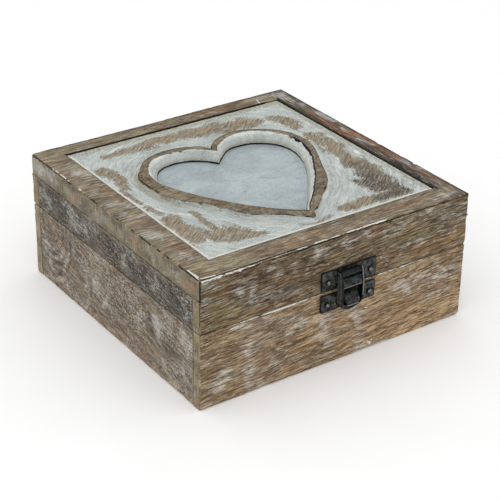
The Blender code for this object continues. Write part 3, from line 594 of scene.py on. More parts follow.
def makeBoard(node, body, material, look, seed):
    # the surface with its marks: strokes on the outer face, end grain, broken arrises, rings, fade
    low, high, flat, points, faces = boardSurface(node, look, seed)
    endAxis = 0 if look["along"] == "X" else 1
    outer = np.minimum(halfWidth - np.abs(flat[:, 0]), halfWidth - np.abs(flat[:, 1]))
    plain = smooth(outer, 2.0, 4.0)
    onFace = flat[:, (1, 2)] if look["face"] in ("left", "right") else flat[:, (0, 2)]
    marks = {name: value * (1 - plain) for name, value in faceMarks(look, onFace, seed).items()}
    fromEnd = np.minimum(flat[:, endAxis] - low[endAxis], high[endAxis] - flat[:, endAxis])
    marks["endGrain"] = smooth(fromEnd, 0.9, 0.25)
    marks["plain"] = plain
    noise = softNoise(flat, 4, seed + 30, 3)
    # dark along arrises: grime, and painted shadow in the seam where base and lid meet
    for pair, table in look.get("darkArris", {}).items():
        near = 1 - smooth(fromArris(flat, low, high, pair), 0.3, 0.9)
        upright = "front" in pair and ("left" in pair or "right" in pair)
        place = flat[:, 2] if upright else onFace[:, 0]
        strength = np.clip(along(table, place, 1) + 0.7 * noise, 0, 1)
        marks["grimeAndShade"] = np.maximum(marks["grimeAndShade"], near * strength)
    for pair, table in look.get("whiteArris", {}).items():
        strength = along(table, onFace[:, 0], 1)
        near = 1 - smooth(fromArris(flat, low, high, pair), 0.3, 0.8 + 1.2 * strength)
        marks["thick"] = np.maximum(marks["thick"], near * np.clip(strength + 0.8 * noise, 0, 1))
    if look.get("growth"):
        (growthY, growthZ), long, tall, count = look["growth"]
        ring = np.hypot((onFace[:, 0] - growthY) / long, (onFace[:, 1] - growthZ) / tall)
        ring = ring + 0.05 * softNoise(flat, 6, seed + 32, 3)
        here = (1 - smooth(ring, 0.75, 1.1)) * smooth(ring, 0.12, 0.3) * (1 - plain)
        here = here * np.clip(0.7 + 0.7 * noise, 0, 1)
        # dark rings, pale ones between
        for name, shift, strength in (("stain", 0.0, 2.0), ("wash", 0.5, 1.0)):
            turn = ring * count + shift
            onRing = nearLine(turn - np.round(turn), 0.08, 0.26)
            marks[name] = np.maximum(marks[name], strength * here * onRing)
    if look.get("fade"):
        depth = fromSide(flat, low, high, "top") + 1.6 * softNoise(flat, (5, 5, 5), seed + 31, 3)
        faded = (1 - smooth(depth, look["fade"] * 0.3, look["fade"])) * (1 - plain)
        marks["olive"] = np.maximum(marks["olive"], faded)
    return makeMesh("wood_" + node, points, faces, material, body, [node], marks)


frontBoardLook = {
    "step": 0.95, "along": "X", "face": "front", "crisp": 0.25, "uneven": 1.0,
    "worn": {("front", "left"): 0.7, ("front", "right"): 1.1, ("front", "bottom"): 1.0},
    "nicks": [((23, -90, 0), 2.2, 2.2), ((90, -90, 32.6), 2.0, 1.6), ((-90, -90, 9), 2.0, 1.3)],
    # how far the bottom edge is broken upwards: place along it and height
    "bottomEdge": [(-90, 0), (-60, 0.1), (-40, 0.5), (-20, 0.15), (8, 0.2), (18, 0.9), (24, 0.7), (30, 1.3),
        (37.4, 1.5), (38.2, 0.1), (56, 0.0), (72, 0.3), (84, 0.2), (90, 0.9)],
    "thick": [((21.8, 4.4), (23.2, 3.4), 0.8, 1.2), ((25.0, 4.8), (23.2, 3.4), 0.8, 1.2),
        ((23.2, 3.4), (23.4, 1.4), 0.8, 1.2), ((-8, 34.5), (-4, 35.5), 0.7, 0.8),
        ((56, 27), (58, 27.2), 0.6, 0.9), ((18, 27), (21, 27.6), 0.7, 0.9)],
    "warm": [((40.5, 1.6), (60, 1.8), 3.6, 1.5), ((60, 1.8), (84, 1.6), 2.4, 1.0),
        ((20, 8), (85, 12), 18, 1.0), ((-20, 26), (40, 30), 12, 0.6), ((-85, 5), (-30, 6), 8, 0.3),
        ((-8, 41), (-4, 41), 8, 0.7)],
    "olive": [((-88, 42), (-70, 38), 6, 0.8), ((-70, 12), (-60, 20), 7, 0.4)],
    "stain": [((-88, 22), (-80, 23), 4, 1.0), ((-80, 8), (-40, 10), 6, 0.45), ((-40, 26), (-10, 28), 6, 0.5),
        ((-87, 34), (-66, 31), 4, 0.6), ((-52, 38), (-30, 36), 4, 0.5), ((20, 18), (60, 22), 5, 0.35)],
    "wash": [((-66, 44), (-48, 42), 5, 1.0), ((-46, 41), (-34, 38), 5, 0.8), ((-59, 32), (-59, 8), 8, 1.0),
        ((-33, 29), (-26, 33), 8, 1.0), ((-78, 12), (-72, 16), 7, 1.0), ((-10, 30), (-8, 16), 8, 1.0),
        ((10, 29), (15, 20), 7, 1.0), ((17, 13), (14, 2), 7, 1.0), ((44, 33), (78, 31), 9, 0.9),
        ((39, 35), (50, 28), 6, 0.8), ((-43, 16), (-41, 6), 6, 0.8), ((-57, 1), (-50, 1), 5, 0.7),
        ((60, 16), (84, 24), 8, 0.4)],
    # place along the edge and strength
    "darkArris": {
        ("front", "left"): [(0, 0.45), (30, 0.3), (46, 0.55)], ("front", "right"): [(0, -0.2), (46, 0.1)],
        ("front", "bottom"): [(-90, 0.3), (-40, 0.1), (90, -0.3)],
        # the top arris meets the lid: the dark at its left end is painted shadow in the seam
        ("front", "top"): [(-90, 0.6), (-79, 0.4), (-75, -0.5), (90, -0.5)],
    },
    "whiteArris": {("front", "top"): [(-80, 0), (-74, 0.5), (-60, 0.8), (-50, 0.7), (-42, 1.2), (-32, 0.9),
        (-14, 0.6), (26, 0.7), (60, 0.7), (88, 0.4)]},
}
lidFrontLook = {
    **frontBoardLook, "worn": {("front", "left"): 0.7, ("front", "right"): 1.0}, "taller": 0.3,
    "nicks": [((90, -90, 47.5), 1.8, 1.4)],
    "warm": [((-70, 50), (-30, 49), 4, 0.7), ((20, 52), (86, 54), 9, 0.6), ((-46, 66), (-30, 62), 4, 0.5)],
    "olive": [((-88, 55), (-66, 53), 9, 1.0), ((-62, 56), (-56, 50), 6, 0.6), ((-10, 66), (6, 62), 5, 0.6),
        ((34, 66), (60, 62), 8, 0.7)],
    "stain": [((-66, 64), (-38, 54), 8, 0.9), ((-70, 74), (10, 64), 8, 0.8), ((-24, 75), (8, 70), 7, 0.9),
        ((-30, 60), (-10, 58), 5, 0.6)],
    "wash": [((-60, 68), (-57, 58), 7, 1.0), ((-44, 70), (-42, 68), 6, 0.9), ((-32, 71), (-30, 68), 6, 1.0),
        ((-16, 73), (-14, 71), 6, 0.9), ((-86, 75), (-84, 74), 5, 0.9), ((-86, 65), (-84, 65), 4, 1.0),
        ((-87, 58), (-85, 58), 3.5, 1.0), ((4, 72), (16, 74), 7, 0.8), ((34, 70), (60, 74), 7, 0.9),
        ((70, 72), (86, 66), 9, 0.9), ((44, 60), (62, 58), 5, 0.6), ((-50, 60), (-30, 52), 5, 0.6)],
    # the lower arris meets the base: the dark at its left end is painted shadow in the seam
    "darkArris": {("front", "left"): [(46, 0.6), (62, 0.7), (66, 1.2)], ("front", "bottom"): [(-90, 0.8),
        (-78, 0.5), (-72, -0.3), (90, -0.4)]},
    "whiteArris": {},
}
sideBoardLook = {
    "step": 0.95, "along": "Y", "face": "left", "crisp": 0.25, "uneven": 1.0,
    "worn": {("left", "bottom"): 1.0}, "nicks": [],
    # growth rings: centre, reach along and up the board, how many
    "growth": ((70, 40), 34, 44, 7),
    "warm": [((-84, 1.5), (84, 1.5), 4.5, 1.0), ((66, 34), (52, 24), 8, 0.7), ((50, 30), (34, 8), 4, 0.5),
        ((-20, 10), (-60, 14), 6, 0.4)],
    "stain": [((72, 36), (62, 20), 5, 0.9), ((58, 16), (50, 6), 5, 0.8), ((40, 36), (26, 30), 6, 0.6),
        ((10, 30), (-10, 22), 7, 0.5), ((-40, 30), (-60, 24), 8, 0.4)],
    "wash": [((78, 26), (70, 10), 6, 0.8), ((48, 14), (40, 4), 7, 0.9), ((40, 34), (10, 22), 8, 0.8),
        ((-10, 38), (-30, 26), 7, 0.9), ((-46, 34), (-56, 6), 5, 1.0), ((-60, 42), (-80, 36), 7, 0.9),
        ((-70, 16), (-76, 8), 7, 0.7)],
    # the top arris meets the lid: dark there is painted shadow in the seam
    "darkArris": {("left", "top"): [(-84, 0.3), (0, 0.0), (84, 0.2)]},
    "whiteArris": {("left", "top"): [(-84, 0.3), (-60, 0.2), (84, 0.0)]},
}
lidSideLook = {
    **sideBoardLook, "worn": {}, "growth": None, "taller": 0.3, "fade": 3.4, "warm": [],
    "stain": [((80, 60), (20, 58), 7, 0.7), ((0, 60), (-76, 58), 6, 0.9), ((46, 60), (30, 58), 4, 1.0)],
    "wash": [((84, 60), (70, 56), 6, 0.8), ((44, 60), (26, 52), 6, 0.8), ((16, 60), (0, 50), 5, 0.8),
        ((-10, 60), (-20, 50), 4, 0.8), ((-40, 58), (-50, 50), 5, 0.6)],
    # the lower arris meets the base: dark there is painted shadow in the seam
    "darkArris": {("left", "bottom"): [(-84, 0.3), (84, 0.2)]}, "whiteArris": {},
}


floorLook = {"step": 2.0, "along": "X", "face": "bottom", "crisp": 0.3, "uneven": 1.0, "worn": {}}


def mirrored(look, was, now):
    # the same board on the other side of the box: plainer, with other marks
    def swap(pairs):
        return {tuple(now if side == was else side for side in pair): wear for pair, wear in pairs.items()}
    pairs = {name: swap(look[name]) for name in ("worn", "darkArris", "whiteArris")}
    return {**look, **pairs, "face": now, "nicks": [], "thick": []}


def makeBoards():
    # each board: its node, body, wood, slot, look and seed
    woods = {
        "front": agedWood("tan front wood", frontWood), "side": agedWood("mottled side wood", sideWood),
        "lidFront": agedWood("brown lid front wood", lidFrontWood),
        "lidSide": agedWood("dark lid side wood", lidSideWood),
        "plain": agedWood("plain floor wood", plainWood), "top": agedWood("sanded top wood", topWood),
        "rightTop": agedWood("dark right member wood", rightTopWood),
    }
    backLook = {**mirrored(frontBoardLook, "front", "back"), "rim": "top"}
    lidBackLook = {**mirrored(lidFrontLook, "front", "back"), "rim": "bottom"}
    rightLook, lidRightLook = (mirrored(look, "left", "right") for look in (sideBoardLook, lidSideLook))
    for node, body, wood, slotName, look, seed in (
        ("base_front_board", "base", "front", "base_wood", frontBoardLook, 11),
        ("base_back_board", "base", "front", "base_wood", backLook, 21),
        ("base_left_board", "base", "side", "base_wood", sideBoardLook, 31),
        ("base_right_board", "base", "side", "base_wood", rightLook, 41),
        ("lid_front_board", "lid", "lidFront", "lid_wood", lidFrontLook, 51),
        ("lid_back_board", "lid", "lidFront", "lid_wood", lidBackLook, 61),
        ("lid_left_board", "lid", "lidSide", "lid_wood", lidSideLook, 71),
        ("lid_right_board", "lid", "lidSide", "lid_wood", lidRightLook, 81),
        ("base_bottom_board", "base", "plain", "floor_wood", floorLook, 91),
    ):
        makeBoard(node, body, woods[wood], look, seed)
    print("boards made")
    return woods


# Top board with its window: a profile carried round the square

topLook = {
    "left": 16.2, "right": 11.8, "front": 16.3, "back": 12.2,  # widths of the four members
    "perSide": 190, "rowsDown": 14, "rowsAcross": 18,  # points of the grid
    "outerWear": 1.05, "innerWear": 0.4, "sag": 0.35,
    "rightSlope": 1.1,  # how far the right member has worn down beside the gap
    "nick": ((90, -43, 78.5), 2.6, 2.4),
    # strokes on the upper face (x, y)
    "stain": [((-88, 84), (50, 84), 7, 0.35), ((80, 70), (80, -66), 4.2, 0.9),
        ((81, -8), (80.5, -60), 5.5, 1.0), ((88, 60), (88, -40), 2.5, 0.5),
        ((-60, 88.5), (88, 88.5), 3, 0.6), ((-10, 80), (60, 79.5), 3, 0.7),
        ((20, 85), (50, 84), 3, 0.5), ((-60, -75.5), (70, -75), 2.4, 0.5),
        ((-20, -88), (60, -88), 3, 0.5), ((-75.5, 40), (-75.5, -20), 2.2, 0.4),
        ((-88, 30), (-88, -40), 3, 0.4)],
    "warm": [((-79, 30), (-76, 6), 5, 0.5), ((-86, 46), (-84, 30), 4, 0.5), ((-80, -40), (-78, -60), 5, 0.4),
        ((83, 52), (82, 46), 3, 0.9), ((82, 40), (81, 4), 3.5, 1.3), ((87, 12), (88, -34), 3.5, 1.4),
        ((86, -36), (87, -80), 3, 0.6), ((20, 84), (60, 84), 5, 0.7), ((-40, -82), (0, -84), 6, 0.4),
        ((30, -80), (70, -82), 5, 0.5)],
    "olive": [((-86, 66), (-78, 86), 9, 0.8), ((-88, 50), (-82, 20), 4, 0.5),
        ((-84, -74), (-60, -84), 9, 1.0), ((-80, 84), (-20, 85), 6, 0.8),
        ((-86, -30), (-86, -60), 5, 0.6), ((-78, 70), (-76, 40), 4, 0.6),
        ((70, -84), (86, -78), 6, 0.5)],
    "wash": [((-80, 60), (-78, 46), 6, 0.9), ((-84, 38), (-76, 42), 5, 0.8), ((-86, 22), (-80, 16), 5, 0.7),
        ((-84, 8), (-74, 4), 7, 1.0), ((-86, -8), (-76, -14), 6, 1.0), ((-84, -34), (-78, -42), 8, 0.9),
        ((-84, -60), (-80, -66), 6, 0.8),
        ((84, 75), (84.5, 70), 3.4, 1.2), ((85.5, 64), (85.5, 60), 3, 1.1),
        ((86.5, 46), (87, 30), 2.6, 1.3), ((84.5, 20), (84.5, 14), 2.4, 1.1),
        ((84, 2), (85, -10), 2.6, 0.9), ((86, -36), (87, -50), 2.4, 0.9), ((76, 86), (84, 82), 6, 1.1),
        ((60, 86), (74, 85), 3, 0.7), ((-20, -86), (30, -87), 3, 0.6), ((60, -86), (84, -84), 3.5, 0.9)],
    # how far the painted shadow of the gap reaches over each member: place along it and distance
    "gapShadow": {"right": [(-74, 0.3), (-66, 0.8), (-48, 2.6), (-20, 2.4), (10, 2.0), (40, 1.8), (60, 1.0),
        (76, 0.5)], "back": [(-74, 0.35), (0, 0.4), (40, 0.2), (60, 0.0), (77, -0.2)],
        "left": [(-74, 0.35), (77, 0.3)], "front": [(-74, 0.3), (30, 0.45), (77, 0.4)]},
    # the right member: how far it is darkened from the gap, with dark stain and painted shadow, by place
    # along it, and its dark outer rim
    "darkFromGap": [(-90, 1.0), (-74, 3.0), (-60, 6.0), (-40, 6.5), (-15, 5.0), (10, 3.2), (40, 2.4), (60, 2.0),
        (77, 1.5)],
    "rim": 2.6,
    # thick white left at the front-left corner and on the left arris
    "thick": [((-88.7, -77), (-88.5, -86), 1.3, 1.0), ((-88, -88), (-80, -88.9), 0.9, 1.0),
        ((-89.4, 34), (-89.4, 31.5), 0.9, 1.2)],
    # pale scratch across the back member
    "scratch": [((64, 76), (66.2, 83), 0.7, 0.9), ((66.2, 83), (66.8, 91), 0.6, 0.7)],
    # along the front arris: place, black above, white, how far the white lies up the arris, black below
    "frontEdge": [(-90, 0.8, 0.9, -0.9, 0.0), (-84, 1.0, 1.0, -1.2, 0.0), (-64, 1.0, 0.9, -1.0, 0.1),
        (-50, 0.9, 0.7, -0.3, 0.5), (-26, 0.7, 0.8, -0.1, 0.8), (-18, 0.1, 0.7, 0.5, 0.9),
        (6, 0.0, 0.9, 0.8, 0.8), (28, 0.0, 0.9, 0.8, 0.6), (34, 0.1, 0.1, 0.4, 0.9),
        (60, 0.2, 0.0, 0.4, 0.7), (90, 0.1, 0.2, 0.5, 0.3)],
    # along the left arris from the front corner: place, black, white
    "leftEdge": [(-90, 1.0, 0.6), (-78, 0.9, 0.5), (-66, 0.5, -0.1), (-30, 0.4, -0.3), (10, 0.45, -0.3),
        (40, 0.5, -0.2), (46, 0.7, 0.8), (64, 0.8, 0.9), (68, 1.0, -0.2), (90, 1.2, -0.3)],
}


# the ends of the top board, seen at the sides: bluish, orange and pale smears
topEndLook = {
    "wash": [((62, 73), (88, 72), 8, 1.6), ((10, 75), (14, 70), 4, 1.0), ((-10, 74), (-14, 70), 3, 0.9),
        ((-40, 75), (-46, 69), 4, 1.0), ((-64, 74), (-72, 69), 4, 0.8)],
    "warm": [((35, 74), (38, 69), 3, 0.9), ((-24, 75), (-28, 72), 3, 0.6), ((-84, 72), (-76, 70), 6, 0.5)],
    "olive": [((48, 72), (40, 70), 4, 0.8), ((2, 72), (-4, 70), 4, 0.7), ((-52, 72), (-60, 70), 4, 0.6)],
    "stain": [((28, 68), (24, 66), 3, 0.5), ((-60, 66.5), (-84, 66.5), 1.5, 0.5)],
}


def topSurface():
    # a profile of places from the outer wall over the top to the window's wall and back below, carried round
    # the square; then worn arrises, the worn slope of the right member, dips and the sag at the back
    look = topLook
    low, high = (np.array(corner) * 1000 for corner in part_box("lid_top_frame"))
    windowLow = low[:2] + [look["left"], look["front"]]
    windowHigh = high[:2] - [look["right"], look["back"]]
    nearCorner = [0.002, 0.005, 0.009, 0.991, 0.995, 0.998]
    side = np.unique(np.concatenate([np.linspace(0, 1, look["perSide"]), nearCorner]))[:-1]
    walk = np.concatenate([side + turn for turn in range(4)])  # round the square, one unit a side
    cornerX, cornerY = np.array([0, 1, 1, 0, 0]), np.array([0, 0, 1, 1, 0])
    x = np.interp(walk, range(5), cornerX)
    y = np.interp(walk, range(5), cornerY)
    outer = low[:2] + np.stack([x, y], 1) * (high - low)[:2]
    inner = windowLow + np.stack([x, y], 1) * (windowHigh - windowLow)
    near = closeSteps / 13.0
    down = np.linspace(low[2], high[2] - 1.9, look["rowsDown"])
    crest = high[2] - np.array([1.2, 0.8, 0.45, 0.2, 0])
    even = np.linspace(near[-1], 1 - near[-1], look["rowsAcross"])[1:-1]
    across = np.concatenate([near, even, 1 - near[::-1]])
    profile = [(0, z) for z in down] + [(0, z) for z in crest[:-1]] + [(s, high[2]) for s in across]
    profile += [(1, z) for z in crest[::-1][1:]] + [(1, z) for z in down[::-1]]
    profile += [(s, low[2]) for s in (0.85, 0.6, 0.4, 0.15)]
    share = np.array([s for s, _ in profile])[:, None, None]
    height = np.array([z for _, z in profile])
    flat = outer[None] * (1 - share) + inner[None] * share
    rows, columns = len(profile), len(walk)
    flat = np.concatenate([flat, np.broadcast_to(height[:, None, None], (rows, columns, 1))],
            axis=2).reshape(-1, 3)
    # outer arrises
    radius = np.full(len(flat), 0.4)
    uneven = 1 + 0.5 * softNoise(flat, 12, 101, 3) + 0.8 * smooth(softNoise(flat, 5, 102), 0.45, 0.8)
    uneven = np.clip(uneven, 0.35, 2.2)
    walls = ("left", "right", "front", "back")
    for pair in [(wall, "top") for wall in walls] + [(wall, end) for wall in walls[:2] for end in walls[2:]]:
        near = np.exp(-(fromArris(flat, low, high, pair) / 2.4) ** 2)
        radius = np.maximum(radius, look["outerWear"] * near * uneven)
    spot, reach, depth = look["nick"]
    away = np.linalg.norm(flat - np.array(spot), axis=1) / reach
    radius = np.maximum(radius, depth * (1 - smooth(away, 0.4, 1)))
    points, outward = drawIn(flat, low, high, radius)
    # window arris: the same rounding the other way, on the distances from the window's wall and from the top
    wall = np.maximum(windowLow - flat[:, :2], flat[:, :2] - windowHigh).max(axis=1)
    below = high[2] - flat[:, 2]
    bend = look["innerWear"] * uneven
    close = (wall < bend) & (below < bend)
    reach = np.hypot(bend - wall, bend - below)
    pull = np.where(close, 1 - bend / np.maximum(reach, 1e-6), 0)
    toWindow = np.sign((windowLow + windowHigh) / 2 - flat[:, :2])
    beside = (flat[:, :2] <= windowLow + 1e-6) | (flat[:, :2] >= windowHigh - 1e-6)
    back = pull * (bend - wall)
    points[:, :2] -= np.where(close[:, None] & beside, toWindow * back[:, None], 0)
    points[:, 2] -= np.where(close, pull * (bend - below), 0)
    # the right member slopes down to the gap, most in its middle
    onRight = smooth(flat[:, 0], windowHigh[0] - 1, windowHigh[0] + 0.5)
    onRight = onRight * smooth(np.abs(flat[:, 1] + 5), 84, 40)
    slope = onRight * smooth(wall, 7.5, 0) * smooth(below, 8, 0)
    points[:, 2] -= look["rightSlope"] * slope * (1 + 0.4 * softNoise(flat, 9, 104, 2))
    points[:, 0] += 0.55 * onRight * smooth(wall, 1.5, 0) * smooth(below, 10, 2)
    # gently uneven faces, and the sag of the back-left edge
    dips = 0.09 * (1 + softNoise(flat, 30, 105)) + 0.06 * (1 + softNoise(flat, (12, 3, 3), 106, 2))
    points -= outward * dips[:, None]
    sagging = smooth(flat[:, 1], 60, 90) * smooth(np.abs(flat[:, 0] + 20), 70, 10) * smooth(below, 6, 0)
    points[:, 2] -= look["sag"] * sagging
    return low, high, flat, points, wrapFaces(rows, columns)[:, ::-1], wall, below, windowLow, windowHigh


def makeTop(woods):
    # the surface with its marks: strokes above, on the front and on the ends, broken black and white lines
    # along the arrises, painted shadow beside the gap, and the right member darkened there by dark stain and
    # painted shadow
    low, high, flat, points, faces, wall, below, windowLow, windowHigh = topSurface()
    look = topLook
    x, y = flat[:, 0], flat[:, 1]
    onSide = smooth(np.minimum(x - low[0], high[0] - x), 1.2, 0.3)
    fromFront = np.minimum(fromSide(flat, low, high, "front"), fromSide(flat, low, high, "back"))
    fromLeft = np.minimum(fromSide(flat, low, high, "left"), fromSide(flat, low, high, "right"))
    up = 1 - smooth(below, 0.6, 1.6)
    onFront = (1 - smooth(fromFront, 0.3, 1.0)) * (1 - up)
    onEnd = onSide * (1 - onFront) * (1 - up)
    upper = faceMarks(look, flat[:, :2], 130)
    front = faceMarks(lidFrontLook, flat[:, (0, 2)], 51)
    end = faceMarks(topEndLook, flat[:, (1, 2)], 135)
    marks = {name: upper[name] * up + front[name] * onFront + end[name] * onEnd
            for name in ("wash", "stain", "warm", "olive")}
    noise = softNoise(flat, 3, 120, 3)
    jag = 0.5 * softNoise(flat, 2.2, 121, 3) + 0.35 * softNoise(flat, 1.1, 122)

    def broken(strength, shift, amount):
        # a line's strength along an arris, broken up by noise
        return np.clip(strength + amount * noise + shift, 0, 1)

    # the right member: dark stain and painted shadow beside the gap, where it slopes down, and dark at its
    # outer edge
    rightMember = up * smooth(x, windowHigh[0] - 0.3, windowHigh[0] + 0.3)
    darkFromGap = along(look["darkFromGap"], y, 1) * (1 + 0.45 * softNoise(flat, 6, 141, 3))
    fromOuter = high[0] - x
    gapStainAndShadow = 1.7 * (1 - smooth(wall, darkFromGap * 0.3, darkFromGap * 1.1))
    rimStain = 1.4 * (1 - smooth(fromOuter, look["rim"] * 0.6, look["rim"] * 1.3))
    marks["stain"] = np.maximum(marks["stain"], rightMember * np.maximum(gapStainAndShadow, rimStain))
    marks["endGrain"] = onSide * smooth(below, 0.5, 1.2) * (1 - onFront)
    underside = smooth(flat[:, 2], low[2] + 0.3, low[2] + 0.1)
    underside = underside * smooth(np.minimum(fromFront, fromLeft), 0.5, 1.5)
    marks["plain"] = underside + smooth(wall, 0.6, 0.1) * smooth(below, 3, 5)
    # along the front arris; across is + on the top, - on the side
    across = fromFront - below + jag
    blackTop, white, whiteAt, blackFront = (along(look["frontEdge"], x, row) for row in (1, 2, 3, 4))
    wide = 0.5 + 0.5 * white
    onArris = ((fromFront < 4) & (below < 4)) * np.where(y > 0, 0.4, 1)  # fainter at the back
    thick = nearLine(across - whiteAt, wide * 0.4, wide * 1.3) * broken(white, 0, 0.7) * onArris
    lineAbove = nearLine(across - whiteAt - wide - 0.3, 0.4, 1.1)
    lineBelow = nearLine(across - whiteAt + wide + 0.3, 0.4, 1.1)
    lineAbove *= broken(blackTop * 1.2, 0, 0.6)
    lineBelow *= broken(blackFront * 1.2, 0, 0.6)
    grimeAndShade = np.maximum(lineAbove, lineBelow) * onArris
    thick, grimeAndShade = (value * smooth(fromLeft, 0.4, 1.6) for value in (thick, grimeAndShade))  # not round the corner
    # along the left arris
    across = fromLeft - below + jag
    black, white = (along(look["leftEdge"], y, row) for row in (1, 2))
    onArris = ((fromLeft < 4) & (below < 4)) * np.where(x > 0, 0.4, 1) * smooth(fromFront, 0.4, 1.6)
    blackLine = nearLine(across + 0.3, 0.5, 1.2)
    whiteLine = nearLine(across - 0.6, 0.3, 0.5 + 1.1 * white)
    grimeAndShade = np.maximum(grimeAndShade, blackLine * broken(black * 1.3, -0.1, 1.1) * onArris)
    thick = np.maximum(thick, whiteLine * broken(white, -0.1, 0.8) * onArris)
    thick = np.maximum(thick, upper["thick"] * up)
    # down the front-left corner, and along the back and right arrises
    corner = 1 - smooth(fromArris(flat, low, high, ("left", "front")), 0.6, 1.3)
    grimeAndShade = np.maximum(grimeAndShade, corner * broken(0.9, 0, 0.5) * smooth(below, 0.3, 1.0))
    backArris = np.minimum(high[1] - y, fromOuter) + 2.0 * np.maximum(below - 0.6, 0)
    grimeAndShade = np.maximum(grimeAndShade, (1 - smooth(backArris, 1.6, 2.8)) * broken(0.7, 0, 0.7) * 0.9)
    # painted shadow beside the gap round the panel
    for side, table in look["gapShadow"].items():
        axis, end = sides[side]
        other = flat[:, 1 - axis]
        fromWindow = (flat[:, axis] - (windowHigh if end else windowLow)[axis]) * (1 if end else -1)
        reach = along(table, other, 1) * (1 + 0.5 * noise)
        beside = (other > windowLow[1 - axis] - 1) & (other < windowHigh[1 - axis] + 1) & (below < 4)
        gapShadow = 1 - smooth(fromWindow, reach * 0.5, reach * 1.3 + 0.2)
        grimeAndShade = np.maximum(grimeAndShade, np.where((fromWindow > -0.1) & beside, gapShadow, 0))
    # painted shadow in the hollow beside the gap on the right member
    gapShadowOnRight = (1 - smooth(wall, darkFromGap * 0.25, darkFromGap * 0.9)) * np.clip(0.62 + 0.8 * noise, 0, 0.8)
    marks["grimeAndShade"] = np.maximum(grimeAndShade, rightMember * gapShadowOnRight)
    marks["thick"] = np.maximum(thick, strokes(flat[:, :2], look["scratch"], 140, 0.5, 0.3, 1.2) * up)
    # the front and back faces are the lid's front wood, the right member has its own
    inFace = flat[faces].mean(axis=1)
    down = high[2] - inFace[:, 2]
    isFront = (np.minimum(np.abs(inFace[:, 1] - low[1]), np.abs(inFace[:, 1] - high[1])) < 0.3) & (down > 0.6)
    isRight = (inFace[:, 0] > windowHigh[0]) & (down < 1.5)
    makeMesh("wood_lid_top", points, faces, woods["top"], "lid", ["lid_top_frame"], marks,
            (woods["lidFront"], woods["rightTop"]), np.where(isFront, 1, 2 * isRight))
    print("top board made")


# Heart panel: loops of points from the opening's lower edge, over ring and hollow, to the panel's edge

